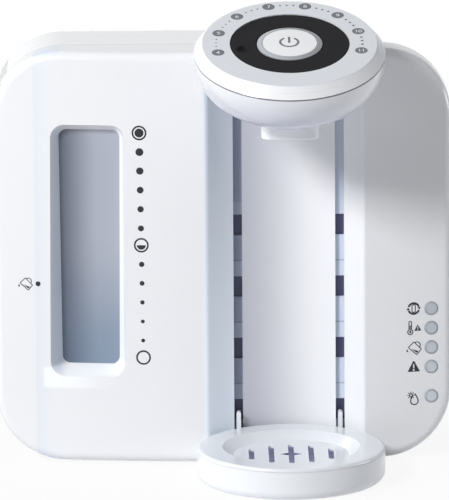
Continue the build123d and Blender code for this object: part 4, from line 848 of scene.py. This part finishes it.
def strip(x):
    """Eight corners of a box: two X, two Y and two Z values in all combinations, then leant."""
    sizes = (x - STRIP_HALF, x + STRIP_HALF), (STRIP_FRONT, STRIP_BACK), (STRIP_LOW, STRIP_HIGH)
    corners = np.array(np.meshgrid(*sizes, indexing="ij")).reshape(3, -1)
    return leant(*corners)


strip_points = np.concatenate([strip(BAY_MIDDLE + side * RAIL_OUT) for side in (-1, 1)])
piece = new_piece("rail_strips", strip_points, np.concatenate([BOX_FACES, BOX_FACES + 8]),
                  window_shade_blue)
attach(piece, "housing")
print("strips:", len(piece.data.polygons), "faces")

# %% [markdown]
# ## Scale of the dial
# Round the dial stand eight badges with the volumes from 4 to 11, and three small dots between each
# two, which grow on the way round. The badges lie on an ellipse that follows the ring's outline.
# Their numbers are strokes too: each digit is a few arcs and lines in a box one unit wide.

# %% Digits
DIGITS = {
    "0": [arc(0.5, 0.75, 0.42, squash=1.6)],
    "1": [line((0.25, 1.1), (0.55, 1.42), (0.55, 0.0))],
    "4": [line((0.7, 0.0), (0.7, 1.42), (0.05, 0.45), (0.95, 0.45))],
    "5": [line((0.85, 1.42), (0.2, 1.42), (0.15, 0.8)), arc(0.45, 0.48, 0.42, 130, -140, 24)],
    "6": [arc(0.5, 0.42, 0.4, 0, 360, 30), arc(0.9, 0.55, 0.8, 110, 180, 12, squash=1.1)],
    "7": [line((0.1, 1.42), (0.9, 1.42), (0.4, 0.0))],
    "8": [arc(0.5, 0.4, 0.4, 0, 360, 30), arc(0.5, 1.1, 0.32, 0, 360, 30)],
    "9": [arc(0.5, 1.0, 0.4, 0, 360, 30), arc(0.1, 0.87, 0.8, -70, 0, 12, squash=1.1)],
}
DIGIT_SIZE, DIGIT_PITCH, DIGIT_PEN = 3.1 / 1.45, 1.1, 0.5
DIGIT_RIGHT, DIGIT_DOWN = 0.05, -0.72  # from a digit's corner to its middle, in units of its box


def number(value, centre):
    """The digits of a number side by side, centred."""
    text, grids = str(value), []
    for position, digit in enumerate(text):
        corner = np.array([(position - len(text) / 2) * DIGIT_PITCH + DIGIT_RIGHT, DIGIT_DOWN])
        grids += [stroke(path * DIGIT_SIZE + centre + DIGIT_SIZE * corner, DIGIT_PEN)
                  for path in DIGITS[digit]]
    return grids


print("a digit is about", round(DIGIT_SIZE * 1.42, 1), "mm high")

# %% [markdown]
# ## Badges and dots
# Turning an angle into a place on the ellipse is one line. The numbers lie one film of ink over
# their badges, so that the two never share a plane.

# %% Badges, dots and numbers
SCALE_X, SCALE_Y, SCALE_SHIFT = 45.5, 48.3, -0.3
BADGE_STEP, BADGE_RADIUS, DOT_STEP = 29.24, 3.95, 5.3
VOLUMES = range(4, 12)
BADGE_ANGLES = 193.1 - BADGE_STEP * np.arange(len(VOLUMES))


def scale_point(angle):
    """A point of the ellipse: its half axes times the angle's cosine and sine, shifted a little."""
    turn = math.radians(angle)
    return np.array([SCALE_X * math.cos(turn) + SCALE_SHIFT, SCALE_Y * math.sin(turn)])


badges = [ring(*scale_point(angle), 0.0, BADGE_RADIUS) for angle in BADGE_ANGLES]
numbers = [grid for value, angle in zip(VOLUMES, BADGE_ANGLES)
           for grid in number(value, scale_point(angle))]
dot_angles = [angle - BADGE_STEP / 2 + step for angle in BADGE_ANGLES[:-1]
              for step in (DOT_STEP, 0.0, -DOT_STEP)]
dot_radii = np.linspace(0.55, 0.95, len(dot_angles))
dots = [ring(*scale_point(angle), 0.0, radius, steps=16)
        for angle, radius in zip(dot_angles, dot_radii)]
printed("dial_badges", badges, on_dial, "housing", ink_grey)
printed("dial_numbers", numbers, on_dial, "housing", ink_white, lift=2 * INK)
printed("dial_dots", dots, on_dial, "housing", ink_grey)

# %% [markdown]
# ## The start sign
# The button carries the usual start sign: an open ring and a bar. The button's top is slightly
# domed, so the ink follows its curve: the lift falls with the square of the distance from the middle.

# %% Start sign
BUTTON_TOP, BUTTON_DOME, BUTTON_RADIUS = 0.8, 0.4, 16.9
SIGN_X, SIGN_Y, SIGN_RADIUS, SIGN_PEN = -0.3, 0.2, 5.6, 1.45
BAR_LOW, BAR_HIGH = -0.8, 6.8


def on_button(x, y, lift):
    """Raised by the top less the dome, which grows with the distance squared over the radius's."""
    dome = BUTTON_TOP - BUTTON_DOME * (x**2 + y**2) / BUTTON_RADIUS**2
    return on_dial(x, y, dome + lift)


start_sign = [stroke(arc(SIGN_X, SIGN_Y, SIGN_RADIUS, 122, 418, 48), SIGN_PEN),
              stroke(line((SIGN_X, BAR_LOW), (SIGN_X, BAR_HIGH)), SIGN_PEN)]
printed("start_sign", start_sign, on_button, "start_key", ink_grey, lift=2 * INK)

# %% [markdown]
# ## The floor
# White plastic is shown best before a plain pale ground that runs on without a horizon. The floor is
# a large sheet that takes the object's shadow. Away from the object the camera and all reflections
# see it as plain white, and close to it the real, lit floor shows through a little.

# %% Floor
FLOOR_HALF, FLOOR_POINTS = 4.0, 9
SHADOW_NEAR, SHADOW_FAR, NEAR_WHITE = 0.1, 0.36, 0.9


def seen_by(tree, *kinds):
    """1 for the named kinds of ray and 0 for all others: the largest of their flags."""
    flags = add(tree, "ShaderNodeLightPath").outputs
    seen = flags[kinds[0]]
    for kind in kinds[1:]:
        seen = maths(tree, "MAXIMUM", seen, flags[kind])
    return seen


floor_finish, tree, shader, place = start("floor_finish", Base_Color=rgb(232, 232, 234),
                                          Roughness=0.9)
away = add(tree, "ShaderNodeVectorMath", operation="LENGTH", _0=place).outputs["Value"]
white_share = product(tree, seen_by(tree, "Is Camera Ray", "Is Glossy Ray"),
                      ramp(tree, away, SHADOW_NEAR, SHADOW_FAR, NEAR_WHITE, 1.0))
white = add(tree, "ShaderNodeEmission", Color=WHITE, Strength=1.0).outputs[0]
both = add(tree, "ShaderNodeMixShader", _0=white_share, _1=shader.outputs[0], _2=white)
feed(tree.nodes["Material Output"], Surface=both.outputs[0])

span = np.linspace(-FLOOR_HALF, FLOOR_HALF, FLOOR_POINTS)
grid_x, grid_y = np.meshgrid(span, span)
floor = new_piece("floor", np.stack([grid_x, grid_y, 0 * grid_x], -1).reshape(-1, 3),
                  quads(FLOOR_POINTS, FLOOR_POINTS), floor_finish)
print("floor", 2 * FLOOR_HALF, "m wide")

# %% [markdown]
# ## The world
# A studio's white walls fill the shadows from all sides. The world is white for what the camera sees,
# for reflections and for what shows through clear parts, while the light that it gives stays low and
# a little cool, so that the lamps can shape the object.

# %% World
FILL, FILL_COLOUR = 0.145, (0.9, 0.95, 1.0, 1.0)
world = bpy.data.worlds.new("studio")
bpy.context.scene.world = world
world.use_nodes = True
tree = world.node_tree
seen = seen_by(tree, "Is Camera Ray", "Is Glossy Ray", "Is Transmission Ray")
feed(tree.nodes["Background"], Color=mixed(tree, seen, FILL_COLOUR, WHITE),
     Strength=spread(tree, seen, FILL, 1.0))
print("world fill", FILL)

# %% [markdown]
# ## The lamps
# The key is a large soft box high on the left in front, far enough away that both ends of the face
# get nearly the same light. It makes the head throw a soft shadow on the right of the face, and it
# lights the bay on its right side. A weak one overhead lifts the flat tops, and another behind on the
# right only touches the rounded edge there.

# %% Lamps
LAMPS = {"key": ((-2.05, -2.25, 2.1), 104.5, 0.8),  # place, watts, side length
         "top": ((-1.7, 0.15, 1.9), 13.0, 0.9),
         "edge": ((2.3, 0.25, 0.12), 16.0, 0.8)}
LAMP_AIM = Vector((0.0, 0.0, 0.14))


def lamp(name, place, power, size):
    """A square soft lamp whose -Z axis points at the aim."""
    data = bpy.data.lights.new(name, "AREA")
    data.energy, data.size = power, size
    item = bpy.data.objects.new(name, data)
    turn = (LAMP_AIM - Vector(place)).to_track_quat("-Z", "Y")
    item.matrix_world = Matrix.Translation(place) @ turn.to_matrix().to_4x4()
    bpy.context.scene.collection.objects.link(item)


for name, settings in LAMPS.items():
    lamp(name, *settings)
bpy.context.scene.view_settings.view_transform = "Standard"
print("lamps:", len(LAMPS))

# %% [markdown]
# ## The end
# Ink and finishes may not make the object grow.

# %% Finish
print("end of the scene")
